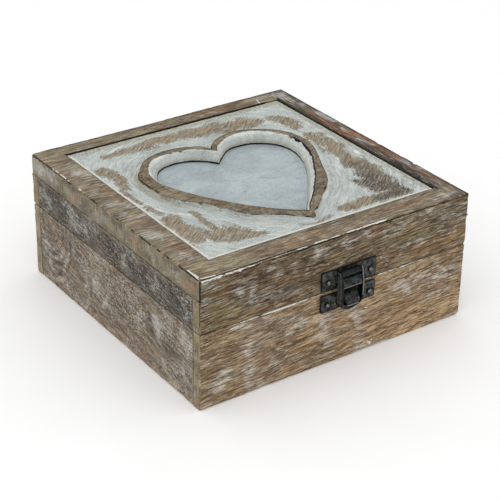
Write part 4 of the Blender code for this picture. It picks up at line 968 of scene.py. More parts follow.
heartLook = {
    "centre": (2.7, 4.6), "lobeRadius": 26.4, "lobeSpread": 23.0, "lobeRise": 14.3, "tipDrop": 61.2,
    "shoulder": {"left": 20.3, "right": 21.5}, "bow": {"left": 26.2, "right": 26.4},
    "lean": {"left": 61, "right": 40},
    "thickness": 7.8,
    # by direction in degrees: rounding of the opening's arris in mm, how far over it the white paint reaches,
    # and how far the lower edge stands in from the upper one
    "round": [(-180, 1.6), (-168, 0.8), (-140, 0.4), (-88, 0.4), (-78, 1.1), (-50, 1.5), (-20, 0.8),
        (10, 0.5), (32, 0.8), (42, 2.4), (58, 3.0), (75, 2.3), (90, 1.7), (102, 1.2), (117, 0.6),
        (123, 0.9), (131, 2.8), (140, 2.6), (152, 1.9), (166, 2.1), (180, 1.6)],
    "paint": [(-180, 0.7), (-174, 0.1), (-95, 0.1), (-85, 0.3), (-79, 0.8), (-69, 1.2), (-50, 1.2),
        (-36, 0.8), (-12, 0.3), (2, 0.1), (19, 0.1), (32, 0.3), (39, 1.2), (46, 2.2), (59, 2.6),
        (66, 2.1), (75, 1.6), (88, 1.1), (95, 0.8), (104, 0.6), (115, 0.1),
        (122, 0.2), (127, 1.4), (133, 2.3), (139, 2.1), (152, 1.3), (166, 1.5), (172, 1.1), (180, 0.7)],
    "inset": [(-180, 1.2), (-170, 0.3), (-150, 0), (-95, 0), (-88, 2.6), (-66, 2.6), (-47, 2.8), (-21, 2.9),
        (-2, 3.6), (13, 3.6), (24, 1.9), (35, 0.4), (55, 0), (67, 0.2), (73, 1.2), (80, 3.5), (85, 2.4),
        (89, 0.9), (93, 0.9), (98, 0.4), (120, 0.3),
        (127, 0.5), (131, 0.8), (137, 1.8), (143, 3.0), (148, 3.6), (158, 3.8), (168, 2.6), (180, 1.2)],
    # direction in degrees and width in mm of the bare ring, hand-cut and uneven
    "ring": [(7, 4.3), (24, 4.5), (47, 4.8), (53, 5.3), (58, 6.0), (63, 6.8), (75, 7.2), (89, 7.9), (91, 4.9),
        (94, 6.1), (98, 6.9), (103, 5.9),
        (115, 5.3), (127, 5.6), (138, 6.4), (148, 5.9), (153, 7.6), (158, 8.3), (172, 8.3), (180, 10.0),
        (185, 10.7), (189, 9.4), (195, 9.9),
        (201, 8.4), (209, 6.3), (216, 6.8), (220, 8.0), (225, 6.3), (230, 7.9), (237, 9.4), (246, 7.6),
        (257, 5.5), (265, 7.9), (268, 8.7),
        (272, 3.8), (276, 6.1), (292, 6.8), (303, 7.9), (312, 8.0), (321, 7.0), (330, 5.7), (340, 4.5),
        (351, 4.3)],
    "ringFrom": 1.15, "wallRun": 1.0, "hollow": 2.6, "reach": 15.0,
    "tightBevel": 0.9, "backBevel": 7.2, "rightBevel": 5.2, "bevelDrop": 0.9, "tightGap": 0.3,
    "looseGap": 0.9,
    # bare, sanded places as (from, to, distance, strength)
    "sanded": [((-57, 62), (-46, 61.5), 4, 1.0), ((-46, 62.5), (-20, 65), 5.5, 0.85),
        ((-20, 65), (5, 63), 7, 1.0), ((5, 63), (38, 60), 7.5, 1.0), ((38, 61), (48, 56), 5, 1.0),
        ((58, 55), (63, 49), 5, 0.9), ((63, 47), (64, 38), 5, 1.0), ((64, 24), (66, 0), 5.5, 1.0),
        ((63, 0), (61, -16), 5.5, 1.0), ((60, -20), (62, -36), 8.5, 1.1),
        ((62, -36), (58, -56), 10.5, 1.1),
        ((50, -48), (52, -56), 8, 1.0), ((46, -42), (46, -50), 4, 0.8), ((20, -67), (33, -66), 5, 1.1),
        ((33, -65.5), (60, -67), 6.0, 1.2),
        ((-67, 45), (-64, 34), 6.5, 1.0), ((-66, 30), (-68, 20), 3.6, 0.9),
        ((-70.5, 18), (-70.5, 0), 2.4, 0.8), ((-70, -6), (-68, -18), 2.8, 0.8),
        ((-67, -26), (-66, -52), 6.5, 1.0), ((-62, -44), (-58, -57), 5.5, 0.9),
        ((-52, -24), (-52, -50), 3.2, 0.9), ((-50, -52), (-40, -61), 7.5, 1.0),
        ((-52, -62), (-34, -65), 4.2, 0.9), ((-12, -69), (10, -68), 2.5, 0.6)],
    "pits": [((72.3, -7.6), 0.9), ((70.2, -17.6), 1.1), ((69.3, -21.3), 0.9), ((69.1, -24.6), 1.0),
        ((68.4, -27.6), 0.9), ((62.4, -45.5), 0.7), ((-40.5, 12.5), 0.9), ((-30, -58), 0.8),
        ((-60, 42), 0.6)],
    "char": [((46, -58), (66, -61), 4, 1.5), ((44, -66.5), (68, -66), 4.5, 1.6),
        ((52, -38), (56, -54), 8, 1.5), ((47, -42), (50, -52), 4, 1.8), ((62, -10), (60, -30), 3, 0.4),
        ((56, -26), (60, -58), 10, 1.0)],
    # by direction: how torn the ring's outer wall is
    "torn": [(-180, 0.5), (-174, 1.0), (-150, 1.0), (-138, 0.5), (-128, 0.0), (170, 0.0), (180, 0.5)],
    # by direction: how strong the painted shade beside the ring is, how bright its crest, how dark the
    # painted shadow line at the wall's foot, and the painted shadow line between wall and ring
    "shadeBesideRing": [(-180, 1.0), (-165, 0.9), (-150, 0.5), (-125, 0.3), (-60, 0.2), (0, 0.1), (120, 0.15),
        (140, 0.6), (158, 1.0), (180, 1.0)],
    "crest": [(-180, 0.0), (-95, 0.3), (-60, 0.6), (-10, 0.8), (40, 1.0), (120, 0.9), (140, 0.4), (150, 0.0),
        (180, 0.0)],
    "gapLine": [(-180, 0.3), (-165, 0.0), (-100, 0.0), (-88, 0.9), (-66, 0.4), (-47, 0.25), (-10, 0.35),
        (15, 0.65), (30, 0.8), (45, 0.9), (60, 1.0), (120, 1.0), (135, 0.9), (145, 0.5), (160, 0.3),
        (180, 0.3)],
    "innerLine": [(-180, 0.0), (-135, 0.0), (-120, 0.45), (-104, 0.6), (-94, 0.8), (-85, 1.0), (5, 1.0),
        (22, 0.7), (30, 0.25), (35, 0.0), (180, 0.0)],
    "turns": 760,  # points round the heart
    "noiseTurn": 45,  # radius in mm of the circle on which the noise goes round the heart
}


def heartHalf(look, side):
    # from the cleft an arc round the lobe, then a cubic curve down the bowed side to the tip
    turn = np.linspace(math.acos(-look["lobeSpread"] / look["lobeRadius"]), 0, 120)
    lobe = look["lobeRadius"] * np.stack([np.cos(turn), np.sin(turn)], 1)
    lobe += [look["lobeSpread"], look["lobeRise"]]
    tip = np.array([0, -look["tipDrop"]])
    lean = math.radians(look["lean"][side])
    ends = [lobe[-1], lobe[-1] - [0, look["shoulder"][side]], tip + look["bow"][side]
            * np.array([math.sin(lean), math.cos(lean)]), tip]
    t = np.linspace(0, 1, 120)[1:, None]
    shares = [(1 - t) ** 3, 3 * t * (1 - t) ** 2, 3 * t ** 2 * (1 - t), t ** 3]
    flank = sum(share * end for share, end in zip(shares, ends))
    half = np.concatenate([lobe, flank])
    return half * ([-1, 1] if side == "left" else [1, 1])


def heartRadius(look, angles):
    # distance from the heart's centre to its outline in each direction
    outline = np.concatenate([heartHalf(look, "right"), heartHalf(look, "left")])
    found = np.arctan2(outline[:, 1], outline[:, 0])
    order = np.argsort(found)
    return np.interp(angles, found[order], np.hypot(outline[:, 0], outline[:, 1])[order], period=2 * math.pi)


def swept(angles, third, radius):
    # places on a cylinder, so that the noise there meets itself after a full turn
    return np.column_stack([np.cos(angles) * radius, np.sin(angles) * radius, third])


def heartSurface(look):
    # loops round the heart: up the opening's wall and over its arris (zone 0), out over the bare ring (1),
    # down its outer wall (2), over the hollow field (3) and the bevel (4), down the edge (5), back below (6)
    centre = np.array(look["centre"])
    windowLow = np.array([-halfWidth + topLook["left"], -halfWidth + topLook["front"]]) + look["tightGap"]
    windowHigh = np.array([halfWidth - topLook["right"], halfWidth - topLook["back"]]) - look["looseGap"]
    corners = [math.atan2(y - centre[1], x - centre[0])
            for x in (windowLow[0], windowHigh[0]) for y in (windowLow[1], windowHigh[1])]
    exact = np.array(corners + [math.pi / 2, -math.pi / 2])
    even = np.linspace(-math.pi, math.pi, look["turns"], endpoint=False)
    apart = np.abs((even[:, None] - exact + math.pi) % (2 * math.pi) - math.pi).min(axis=1)
    angles = np.sort(np.concatenate([even[apart > math.pi / look["turns"]], exact]))
    direction = np.stack([np.cos(angles), np.sin(angles)], 1)
    radius = heartRadius(look, angles)
    around = swept(angles, angles * 0, 40)
    ringWidth = np.array(look["ring"])
    ringOut = radius + look["ringFrom"]
    ringOut = ringOut + np.interp(angles, np.radians(ringWidth[:, 0]), ringWidth[:, 1], period=2 * math.pi)
    ringOut = ringOut + 0.3 * softNoise(around, 3.5, 202, 2) + 0.12 * softNoise(around, 1.2, 203)
    with np.errstate(divide="ignore"):
        reach = np.where(direction > 0, windowHigh - centre, windowLow - centre) / direction
    edge = direction * np.abs(reach).min(axis=1)[:, None]
    fieldEdge = np.clip(edge, windowLow + look["tightBevel"] - centre, windowHigh - [look["rightBevel"],
            look["backBevel"]] - centre)
    loops, zone = [], []

    def add(points, height, kind):
        loops.append(np.column_stack([points, np.broadcast_to(height, len(angles))]))
        zone.append(kind)

    ringIn = radius + 0.25 * softNoise(around, 5, 201, 2)
    roundSize = along(look["round"], np.degrees(angles), 1) * (1 + 0.22 * softNoise(around, 7, 204, 3))
    inset = along(look["inset"], np.degrees(angles), 1)
    for share in np.linspace(0, 1, 16):
        height = -look["thickness"] + share * (look["thickness"] - roundSize)
        bulge = 0.3 * softNoise(swept(angles, height, 40), 3.5, 203, 3) - inset * (1 - share) ** 1.2
        add(direction * (ringIn + bulge * smooth(share + inset, 0.05, 0.4))[:, None], height, 0)
    for turn in np.linspace(0, math.pi / 2, 11)[1:]:
        height = -roundSize * (1 - math.sin(turn))
        bulge = 0.22 * softNoise(swept(angles, height, 40), 3.5, 203, 2) * math.cos(turn)
        add(direction * (ringIn + bulge + roundSize * (1 - math.cos(turn)))[:, None], height, 0)
    start = ringIn + roundSize
    stop = np.maximum(ringOut - look["wallRun"], start + 0.4)
    for share in np.linspace(0, 1, 14)[1:]:
        add(direction * (start + share * (stop - start))[:, None], 0.0, 1)
    for share in np.linspace(0, 1, 7)[1:]:
        drop = look["hollow"] * (share * share * (3 - 2 * share))
        add(direction * (stop + share * (ringOut - stop))[:, None], -drop, 2)
    outer = direction * ringOut[:, None]
    for share in np.linspace(0, 1, 66)[1:] ** 1.15:
        points = outer + share * (fieldEdge - outer)
        away = np.hypot(*(points - outer).T)
        add(points, -look["hollow"] * (1 - smooth(away, 0, look["reach"])), 3)
    for share in (0.06, 0.15, 0.28, 0.42, 0.57, 0.72, 0.86, 1.0):
        add(fieldEdge + share * (edge - fieldEdge), -look["bevelDrop"] * share ** 1.3, 4)
    for height in (-1.4, -2.6, -5.0, -look["thickness"]):
        add(edge, height, 5)
    for share in (0.3, 0.6, 0.9):
        add(edge + share * (loops[0][:, :2] - edge), -look["thickness"], 6)
    points = np.concatenate(loops)
    points[:, :2] += centre
    zone = np.repeat(zone, len(angles))
    angle = np.tile(angles, len(loops))
    across = np.hypot(points[:, 0] - centre[0], points[:, 1] - centre[1])
    ringIn, ringOut = np.tile(ringIn, len(loops)), np.tile(ringOut, len(loops))
    faces = wrapFaces(len(loops), len(angles))
    return points, faces, zone, angle, across, ringIn, ringOut, windowLow, windowHigh


def makeHeartPanel():
    # the surface with its fine relief: brush ridges and lumps on the paint, scratches where it is sanded,
    # cuts on the ring and small pits; then the marks of paint, wood, wear and dark lines
    look = heartLook
    points, faces, zone, angle, across, ringIn, ringOut, low, high = heartSurface(look)
    flat = points.copy()
    flat[:, 2] = 0
    turn = np.degrees(angle)
    away = across - ringOut
    field = (zone == 3).astype(float)
    onRing = (zone == 1) | (zone == 2)

    def byTurn(name):
        return along(look[name], turn, 1)

    lumps = softNoise(flat, 3.2, 213, 3)
    # flow runs round the heart slowly and away from the ring fast, so that brush marks sweep round it
    flow = swept(angle, away, 5.5)
    brush = softNoise(flow, 1.4, 212, 3)
    wobble = np.stack([lumps, brush], 1)
    sanded = strokes(flat[:, :2] + 1.6 * wobble, look["sanded"], 210, 0.5, 0.3, 1.25) * field
    # its X runs along the scratches
    diagonal = flat @ np.array([[0.78, -0.62, 0], [0.62, 0.78, 0], [0, 0, 1]])
    scratch = softNoise(diagonal, (9, 0.55, 1), 211, 2)
    spokes = softNoise(swept(angle, across * 0.16, look["noiseTurn"]), 1.1, 214, 3)
    painted = (1 - sanded) * (0.20 * brush + 0.12 * lumps)
    relief = field * (painted + sanded * (0.07 * scratch - 0.12) - 0.12) * smooth(away, 0, 1.5)
    relief += np.where(zone == 1, 0.05 * spokes - 0.06, 0)
    relief += np.where(zone == 4, -0.25 * np.abs(softNoise(flat, (1.4, 1.4, 1), 215, 3)), 0)
    fromWall = ringOut - look["wallRun"] - across
    relief -= 0.3 * np.where(zone == 1, smooth(fromWall, 1.2, 0), 0)
    pits = np.zeros(len(points))
    for (x, y), size in look["pits"]:
        distance = np.hypot((flat[:, 0] - x) * 1.2, (flat[:, 1] - y) * 0.8) / size * (1 + 0.5 * lumps)
        pit = (1 - smooth(distance, 0.3, 1)) * field
        relief -= pit
        pits = np.maximum(pits, pit)
    points[:, 2] = np.minimum(points[:, 2] + relief, 0)
    depth = -points[:, 2]
    # bare wood on the ring, down its outer wall and in flecks where that is torn
    inward = across - ringIn
    reach = byTurn("paint") + 0.45 * lumps + 0.35 * spokes
    nearSide = smooth(turn, -178, -165) * (1 - smooth(turn, -92, -84))  # the ring's outer wall shows there
    torn = byTurn("torn") * (zone == 2)
    flecks = softNoise(swept(angle, depth * 1.5, look["noiseTurn"]), 0.6, 220, 2)
    onTop = np.where(zone <= 1, smooth(inward, reach - 0.2, reach + 0.25) * smooth(depth, 4.5, 1.0), 0)
    onWall = np.where(zone == 2, 1 - smooth(depth + 0.35 * spokes, 1.0 - 0.75 * nearSide,
            1.9 - 1.2 * nearSide), 0)
    inFlecks = smooth(flecks + 0.7 * lumps, 0.0, 0.5) * (1 - smooth(depth + 0.5 * flecks, 1.6, 2.3))
    ringWood = np.maximum.reduce([onTop, onWall, 0.8 * torn * inFlecks])
    # dark lines: on the ring's outer arris, below it at the near side and in the torn wall; painted shadow
    # lines at the bare wood's inner edge, where it is undercut, and at the foot of the opening's wall
    patchy = np.clip(0.55 + 0.75 * softNoise(flat, 4, 216, 2), 0, 1)
    arris = np.where(onRing, nearLine(fromWall + 0.25 * spokes + 0.1, 0.1, 0.45), 0) * patchy * (1 - nearSide)
    lower = np.where(zone == 2, nearLine(depth - 0.6 + 0.3 * spokes, 0.2, 0.5), 0)
    lower = lower * nearSide * (1 - 0.7 * torn) * np.maximum(0.55 + 0.45 * patchy, smooth(turn, -100, -88))
    inTear = torn * smooth(flecks, 0.25, 0.6) * smooth(depth, 0.8, 1.6) * patchy
    inner = np.where(zone <= 1, nearLine(inward - reach - 0.15 - 0.6 * nearSide, 0.25, 0.75), 0)
    inner = inner * byTurn("innerLine") * smooth(depth, 3.0, 1.5)
    foot = 1 - smooth(look["thickness"] - depth, 0.4, 1.4 + 0.5 * lumps)
    foot = np.where(zone == 0, byTurn("gapLine") * foot, 0)
    # painted shade and bright paint beside the ring, charred places, painted shade on the sloping back and
    # right bevel, and the cream edges: painted highlights on the left arris and the opening's near arris, and
    # cream paint on the ridge
    shadeBesideRing = np.where(zone == 2, 1.0, field * (1 - smooth(away, 3.4 + 0.8 * lumps, 4.4 + 0.8 * lumps)))
    crest = np.where(zone == 2, 1.0, field * (1 - smooth(away, 0.8 + 0.5 * brush, 2.8 + brush)))
    char = strokes(flat[:, :2] + 1.2 * wobble, look["char"], 218, 0.6, 0.2, 1.2) * field
    bevels = np.array([look["rightBevel"], look["backBevel"]])
    fromRidge = (high - bevels - flat[:, :2]).min(axis=1)
    fromLeft = (flat[:, :2] - low).min(axis=1) + 0.25 * lumps
    top = (zone == 3) | (zone == 4)
    ridge = nearLine(fromRidge - 0.9 + 1.1 * lumps, 0.4, 1.8) * np.clip(0.5 + 0.8 * brush, 0, 1)
    ridge = ridge * (0.4 + 0.45 * (flat[:, 0] > 60))
    brightLine = np.where(zone <= 1, nearLine(inward - 0.05, 0.25, 0.6), 0)
    brightLine = brightLine * nearSide * smooth(depth, 1.5, 0.8)
    cuts = softNoise(swept(angle, across * 0.10, look["noiseTurn"]), 0.75, 219, 2)
    # of these, the shade beside the ring, the bevel and low are painted shade, the cream edges partly painted
    # highlight, and line partly painted shadow
    marks = {
        "bare": sanded, "wood": ringWood, "cut": smooth(cuts, -0.05, 0.45),
        "line": np.maximum.reduce([arris, lower, inTear, inner, foot, pits]),
        "shadeBesideRing": byTurn("shadeBesideRing") * shadeBesideRing, "crest": byTurn("crest") * crest, "char": char,
        "bevel": top * (1 - smooth(fromRidge + 0.5 * lumps, -1.2, 0.0)),
        "highlightAndCream": 0.85 * brightLine + top * np.maximum(1 - smooth(fromLeft, 0.7, 1.3), ridge),
        "wall": (zone == 0) * smooth(look["thickness"] - depth, 0, 2.0), "plain": (zone >= 5) * 1.0,
        "low": np.where(zone == 0, smooth(depth, 3.5, 7.5), 0),
    }
    points[:, 2] += topHeight
    makeMesh("carved_heart_panel", points, faces, chalkPaint(), "lid", ["heart_panel"], marks,
            flow=flow)
    print("heart panel made")


# the shade beside the ring, the bevel and the wall's low colour are painted shade, the cream edges partly
# painted highlight, line partly painted shadow
chalkLook = {
    "white": (182, 188, 185), "cool": (160, 169, 169), "bright": (213, 218, 214), "dirty": (136, 135, 122),
    "shadeBesideRing": (148, 146, 128),
    "bevel": (148, 149, 130), "bevelLight": (186, 189, 176), "bevelDark": (102, 98, 80),
    "highlightAndCream": (216, 217, 208),
    "wall": (214, 218, 213), "wallCool": (190, 197, 195), "wallLow": (166, 160, 140), "bare": (139, 121, 96),
    "bareDark": (80, 64, 47), "bareLight": (172, 163, 144),
    "bareGrey": (131, 123, 103), "rust": (136, 102, 72), "char": (50, 40, 32),
    "ring": (104, 89, 69), "ringDark": (50, 39, 30), "ringLight": (138, 124, 103), "line": (30, 25, 21),
    "scratchTurn": 39,  # direction of the sanding scratches in degrees
}


def chalkPaint():
    # chalky white brushed round the heart: bright ridges, cool hollows, grit and dirty bristle lines, painted
    # shade beside the ring, on the bevel and low on the opening's wall, painted highlights on the cream
    # edges;
    # worn through to hatched wood in the sanded places, and bare on the ring
    look = chalkLook
    material, tree, surface = newMaterial("chalk paint over wood")
    over, layered = painter(tree, look)
    place = grainPlace(tree, "X", (0, 0, 0))
    flow = node(tree, "ShaderNodeAttribute", attribute_name="flow").outputs["Vector"]
    scratchTurn = (0, 0, -math.radians(look["scratchTurn"]))
    turned = node(tree, "ShaderNodeMapping", {"Vector": place, "Rotation": scratchTurn}).outputs[0]
    # white paint
    cloud = ramp(tree, stretched(tree, place, (0.07, 0.08, 0.08), 4, 0.65, 0.5), 0.36, 0.66)
    ridges = stretched(tree, flow, (0.5, 0.5, 0.42), 4, 0.65, 0.2, (3, 1, 2))
    bristles = stretched(tree, flow, (1.1, 1.1, 1.5), 2, 0.6, 0.1, (6, 2, 5))
    grit = stretched(tree, place, (1.05, 1.05, 1.05), 1, 0.6, 0.0, (4, 4, 4))
    tone = over(colour(*look["white"]), cloud, "cool")
    tone = layered(tone, [(ridges, 0.52, 0.68, 0.60, "bright"), (ridges, 0.46, 0.30, 0.40, "dirty")])
    # painted shade in the hollow beside the ring, broken up by the bristles
    tone = over(tone, times(tree, mark(tree, "shadeBesideRing"), ramp(tree, bristles, 0.40, 0.60, 0.45, 0.95)), "shadeBesideRing")
    # the opening's wall, darker towards its foot: painted shade
    wall = over(over(colour(*look["wall"]), cloud, "wallCool"), mark(tree, "low"), "wallLow")
    tone = blend(tree, times(tree, mark(tree, "wall"), 0.9), tone, wall)
    tone = over(tone, times(tree, mark(tree, "crest"), 0.8), "bright")
    # the sloping back and right bevel in darker grey-green: painted shade, with light and dark scuffs
    scuffs = stretched(tree, place, (1.1, 0.35, 1.0), 2, 0.6, 0.2, (8, 8, 1))
    bevelTone = layered(colour(*look["bevel"]), [
        (scuffs, 0.48, 0.64, 1.0, "bevelLight"), (scuffs, 0.44, 0.30, 0.8, "bevelDark")])
    tone = blend(tree, times(tree, ragged(tree, place, "bevel", 0.42, 1.0), 0.9), tone, bevelTone)
    calm = mulAdd(tree, mark(tree, "wall"), -0.45, 1.0)
    tone = layered(tone, [
        (bristles, 0.52, 0.66, 0.42, "dirty"), (bristles, 0.46, 0.32, 0.42, "bright"),
        (grit, 0.54, 0.72, 0.40, "dirty"), (grit, 0.46, 0.30, 0.40, "bright"),
    ], calm)
    # cream edges: painted highlights on the left arris and the opening's near arris, cream paint on the ridge
    tone = over(tone, ragged(tree, place, "highlightAndCream", 0.45, 1.5), "highlightAndCream")
    # wood under it
    hatch = stretched(tree, turned, (0.14, 1.25, 1.25), 2, 0.6, 0.1)
    under = stretched(tree, turned, (0.05, 0.14, 0.14), 3, 0.6, 0.2, (1, 5, 5))
    rusty = stretched(tree, turned, (0.06, 0.20, 0.20), 3, 0.6, 0.3, (6, 1, 2))
    wood = layered(colour(*look["bareGrey"]), [
        (under, 0.40, 0.62, 1.0, "bare"), (rusty, 0.54, 0.70, 0.5, "rust"),
        (hatch, 0.50, 0.66, 0.80, "bareDark"), (hatch, 0.46, 0.32, 0.70, "bareLight"),
    ])
    char = times(tree, ramp(tree, hatch, 0.40, 0.60, 0.4, 1.0), ramp(tree, grit, 0.34, 0.60, 0.3, 1.0))
    wood = over(wood, calc(tree, "MULTIPLY", mark(tree, "char"), char, clamp=True), "char")
    bare = roughened(tree, mark(tree, "bare"), [(hatch, 0.8), (grit, 1.3), (ridges, -1.2)])
    bare = ramp(tree, bare, 0.16, 0.86)
    tone = blend(tree, times(tree, bare, 0.92), tone, wood)
    # the ring's wood, its cross cuts and dark outline
    grain = groupOut(tree, grainGroup, {"Place": place, "Wander": 4.0})
    ringTone = over(colour(*look["ring"]), grain["Figure"], "ringLight")
    ringTone = over(ringTone, times(tree, grain["Hue"], 0.35), "bareGrey")
    gouges = stretched(tree, flow, (0.6, 0.6, 0.75), 3, 0.65, 0.4, (9, 1, 4))
    ringTone = layered(ringTone, [(gouges, 0.50, 0.66, 0.6, "ringDark"),
            (gouges, 0.46, 0.32, 0.45, "bareLight")])
    ringTone = over(ringTone, times(tree, mark(tree, "cut"), 0.45), "ringDark")
    ringTone = layered(ringTone, [
        (grain["Fibres"], 0.2, 1.0, 0.45, "ringDark"), (grain["Lights"], 0.2, 1.0, 0.22, "bareLight")])
    tone = blend(tree, ragged(tree, place, "wood", 0.38, 1.6), tone, ringTone)
    tone = over(tone, mark(tree, "plain"), "bare")
    # dark lines, partly painted shadow at the wall's foot and under the bare wood's inner edge
    tone = over(tone, ragged(tree, place, "line", 0.42, 1.8), "line")
    height = summed(tree, [(bristles, -1.2), (bare, -0.8), (hatch, -0.4), (grit, -0.6), (ridges, 1.2)])
    finishMaterial(tree, surface, tone, ramp(tree, bare, 0, 1, 0.78, 0.66), height, 0.7, 0.35)
    return material


# Pale board at the bottom of the heart

backingLook = {"step": 2.5, "along": "X", "face": "top", "crisp": 0.3, "uneven": 0.4, "worn": {}}
paleLook = {"pale": (170, 181, 185), "grey": (154, 164, 167), "smudge": (118, 120, 116),
        "light": (190, 198, 200)}


def palePaint():
    # pale paint in soft clouds, smudged along X and gritty
    look = paleLook
    material, tree, surface = newMaterial("pale painted board")
    over, layered = painter(tree, look)
    place = grainPlace(tree, "X", (0, 0, 0))
    cloud = ramp(tree, stretched(tree, place, (0.05, 0.06, 0.06), 5, 0.6, 0.4), 0.36, 0.66)
    smears = stretched(tree, place, (0.07, 0.16, 0.16), 5, 0.72, 0.4, (5, 2, 1))
    grain = stretched(tree, place, (0.8, 1.1, 1.1), 2, 0.7, 0.2, (2, 8, 1))
    tone = layered(over(colour(*look["pale"]), cloud, "grey"), [
        (smears, 0.52, 0.70, 0.42, "smudge"), (grain, 0.50, 0.72, 0.30, "smudge"),
        (grain, 0.48, 0.30, 0.45, "light"),
    ])
    grit = stretched(tree, place, (1.1, 1.1, 1.1), 3, 0.7)
    finishMaterial(tree, surface, tone, ramp(tree, cloud, 0, 1, 0.6, 0.72), grit, 0.3, 0.1, 0.25)
    return material


def makeBacking():
    makeBoard("heart_backing_board", "lid", palePaint(), backingLook, 301)
    print("backing board made")


# Latch: pressed plates, rolled barrel, stirrup hasp, keeper's bill, pin and domed screws

latchLook = {
    "x": 5.2, "haspX": 4.7, "plateWidth": 37.2, "plateCorner": 0.9, "plateArris": 0.22,
    "plateFront": -91.1, "plateBack": -90.3, "screwSeat": -91.4,  # places on Y
    "upperGap": 0.9, "upperHeight": 11.9, "lowerGap": 1.4, "lowerHeight": 10.7,  # gaps from the seam
    "dimple": (-3.7, 37.6), "dimpleSize": 0.6, "dimpleDepth": 0.25,
    "barrelRadius": 1.8, "barrelHalf": 6.4, "pinRadius": 0.7, "pinY": -92.7, "pinZ": 56.0,
    "haspWidth": 15.6, "haspLength": 22.6, "strap": 1.1, "strapLeft": 2.0, "chin": 6.2, "ear": 1.5,
    "front": 2.6,
    "swell": 6.5, "chinFrom": 8.0, "chinFront": 1.4, "chinRise": 4.5, "chinThick": 3.0,
    "sheet": 0.9, "sheetTop": 2.4, "sheetBottom": 8.0, "sheetInset": 0.3,
    "keeperY": -90.7, "keeperWidth": 8.8, "keeperReach": 5.2, "keeperLength": 7.4, "keeperSheet": 0.9,
    "keeperRoot": 0.4, "screwRadius": 1.5, "screwHeight": 0.9,
}
metalLook = {"dark": (11, 13, 13), "teal": (24, 36, 40), "grey": (90, 91, 84), "worn": (150, 148, 136)}


def darkMetal():
    # near-black lacquer with a teal tint, rubbed brownish grey on the faces, with a painted sheen where
    # the face mark passes one, and bright on the worn edges
    look = metalLook
    material, tree, surface = newMaterial("antique dark metal")
    over, layered = painter(tree, look)
    place = grainPlace(tree, "X", (0, 0, 0))
    cloud = ramp(tree, stretched(tree, place, (0.35, 0.35, 0.35), 4, 0.7, 0.3), 0.40, 0.62)
    tint = stretched(tree, place, (0.15, 0.3, 0.3), 3, 0.6, 0.3, (8, 3, 3))
    specks = stretched(tree, place, (1.2, 1.2, 1.2), 1, 0.6, 0.0, (2, 5, 5))
    pits = stretched(tree, place, (1.6, 1.6, 1.6), 3, 0.7)
    face = mark(tree, "face")
    rub = times(tree, cloud, mulAdd(tree, face, 0.85, 0.05))
    # face marks above one add a painted sheen
    rub = mulAdd(tree, calc(tree, "MAXIMUM", calc(tree, "SUBTRACT", face, 1.0), 0.0), 0.5, rub)
    worn = ragged(tree, place, "edge", 0.36, 1.2)
    tone = layered(colour(*look["dark"]), [(tint, 0.42, 0.62, 1.0, "teal")])
    tone = layered(over(tone, rub, "grey"), [(specks, 0.56, 0.72, 0.6, "dark")])
    tone = over(tone, times(tree, worn, 0.85), "worn")
    rough = ramp(tree, calc(tree, "ADD", worn, rub), 0, 1, 0.34, 0.52)
    surface.inputs["Metallic"].default_value = 0.6
    finishMaterial(tree, surface, tone, rough, pits, 0.35, 0.12)
    return material


def latchPlate(look, bottom, top, seed):
    # a thin rounded box between two heights, its outline's corners turned with a radius of their own and its
    # faces pressed a little uneven; with it go how worn and how rubbed each place is
    half, arris, cornerRadius = look["plateWidth"] / 2, look["plateArris"], look["plateCorner"]
    low = np.array([look["x"] - half, look["plateFront"], bottom])
    high = np.array([look["x"] + half, look["plateBack"], top])
    flat, faces = boxGrid(low, high, 0.5, arris)
    radius = np.full(len(flat), arris) * (1 + 0.3 * softNoise(flat, 3, seed))
    points, outward = drawIn(flat, low, high, radius)
    inner = np.clip(points[:, (0, 2)], low[[0, 2]] + cornerRadius, high[[0, 2]] - cornerRadius)
    away = points[:, (0, 2)] - inner
    length = np.linalg.norm(away, axis=1)
    pull = np.where(length > 1e-9, np.abs(away).max(axis=1) / np.maximum(length, 1e-9), 1)
    points[:, (0, 2)] = inner + away * pull[:, None]
    points -= outward * (0.05 * (1 + softNoise(flat, 4, seed + 1, 2)))[:, None]
    edge = np.minimum.reduce([fromSide(flat, low, high, side) for side in ("left", "right", "top", "bottom")])
    onFace = flat[:, 1] < low[1] + 0.3
    inLine = nearLine(edge - 0.9, 0.15, 0.45) * onFace  # a faint pressed line inside the rim
    # the rubbed face stops short of the rim and of the screws, which stay dark: painted shade at the outline
    # and round the screw heads
    return points, faces, 0.42 * inLine, smooth(edge, 0.3, 1.0) * onFace * roundScrews(flat)


def tube(start, end, radius, bore):
    # a short tube along X: out from the bore, along the outside and back in through the bore
    count, bevel, soft = 64, 0.25, 0.07
    turn = np.linspace(0, 2 * math.pi, count, endpoint=False)
    profile = [(start + bevel, bore), (start, bore + 0.1), (start, radius - bevel),
            (start + soft, radius - soft),
            (start + bevel, radius)]
    profile += [(x, radius) for x in np.linspace(start + bevel, end - bevel, 26)[1:]]
    profile += [(end - soft, radius - soft), (end, radius - bevel), (end, bore + 0.1), (end - bevel, bore)]
    place, out = np.array(profile).T[:, :, None]
    across, up = out * np.sin(turn), out * np.cos(turn)
    points = np.stack([np.broadcast_to(place, up.shape), across, up], -1)
    return points.reshape(-1, 3), wrapFaces(len(profile), count)


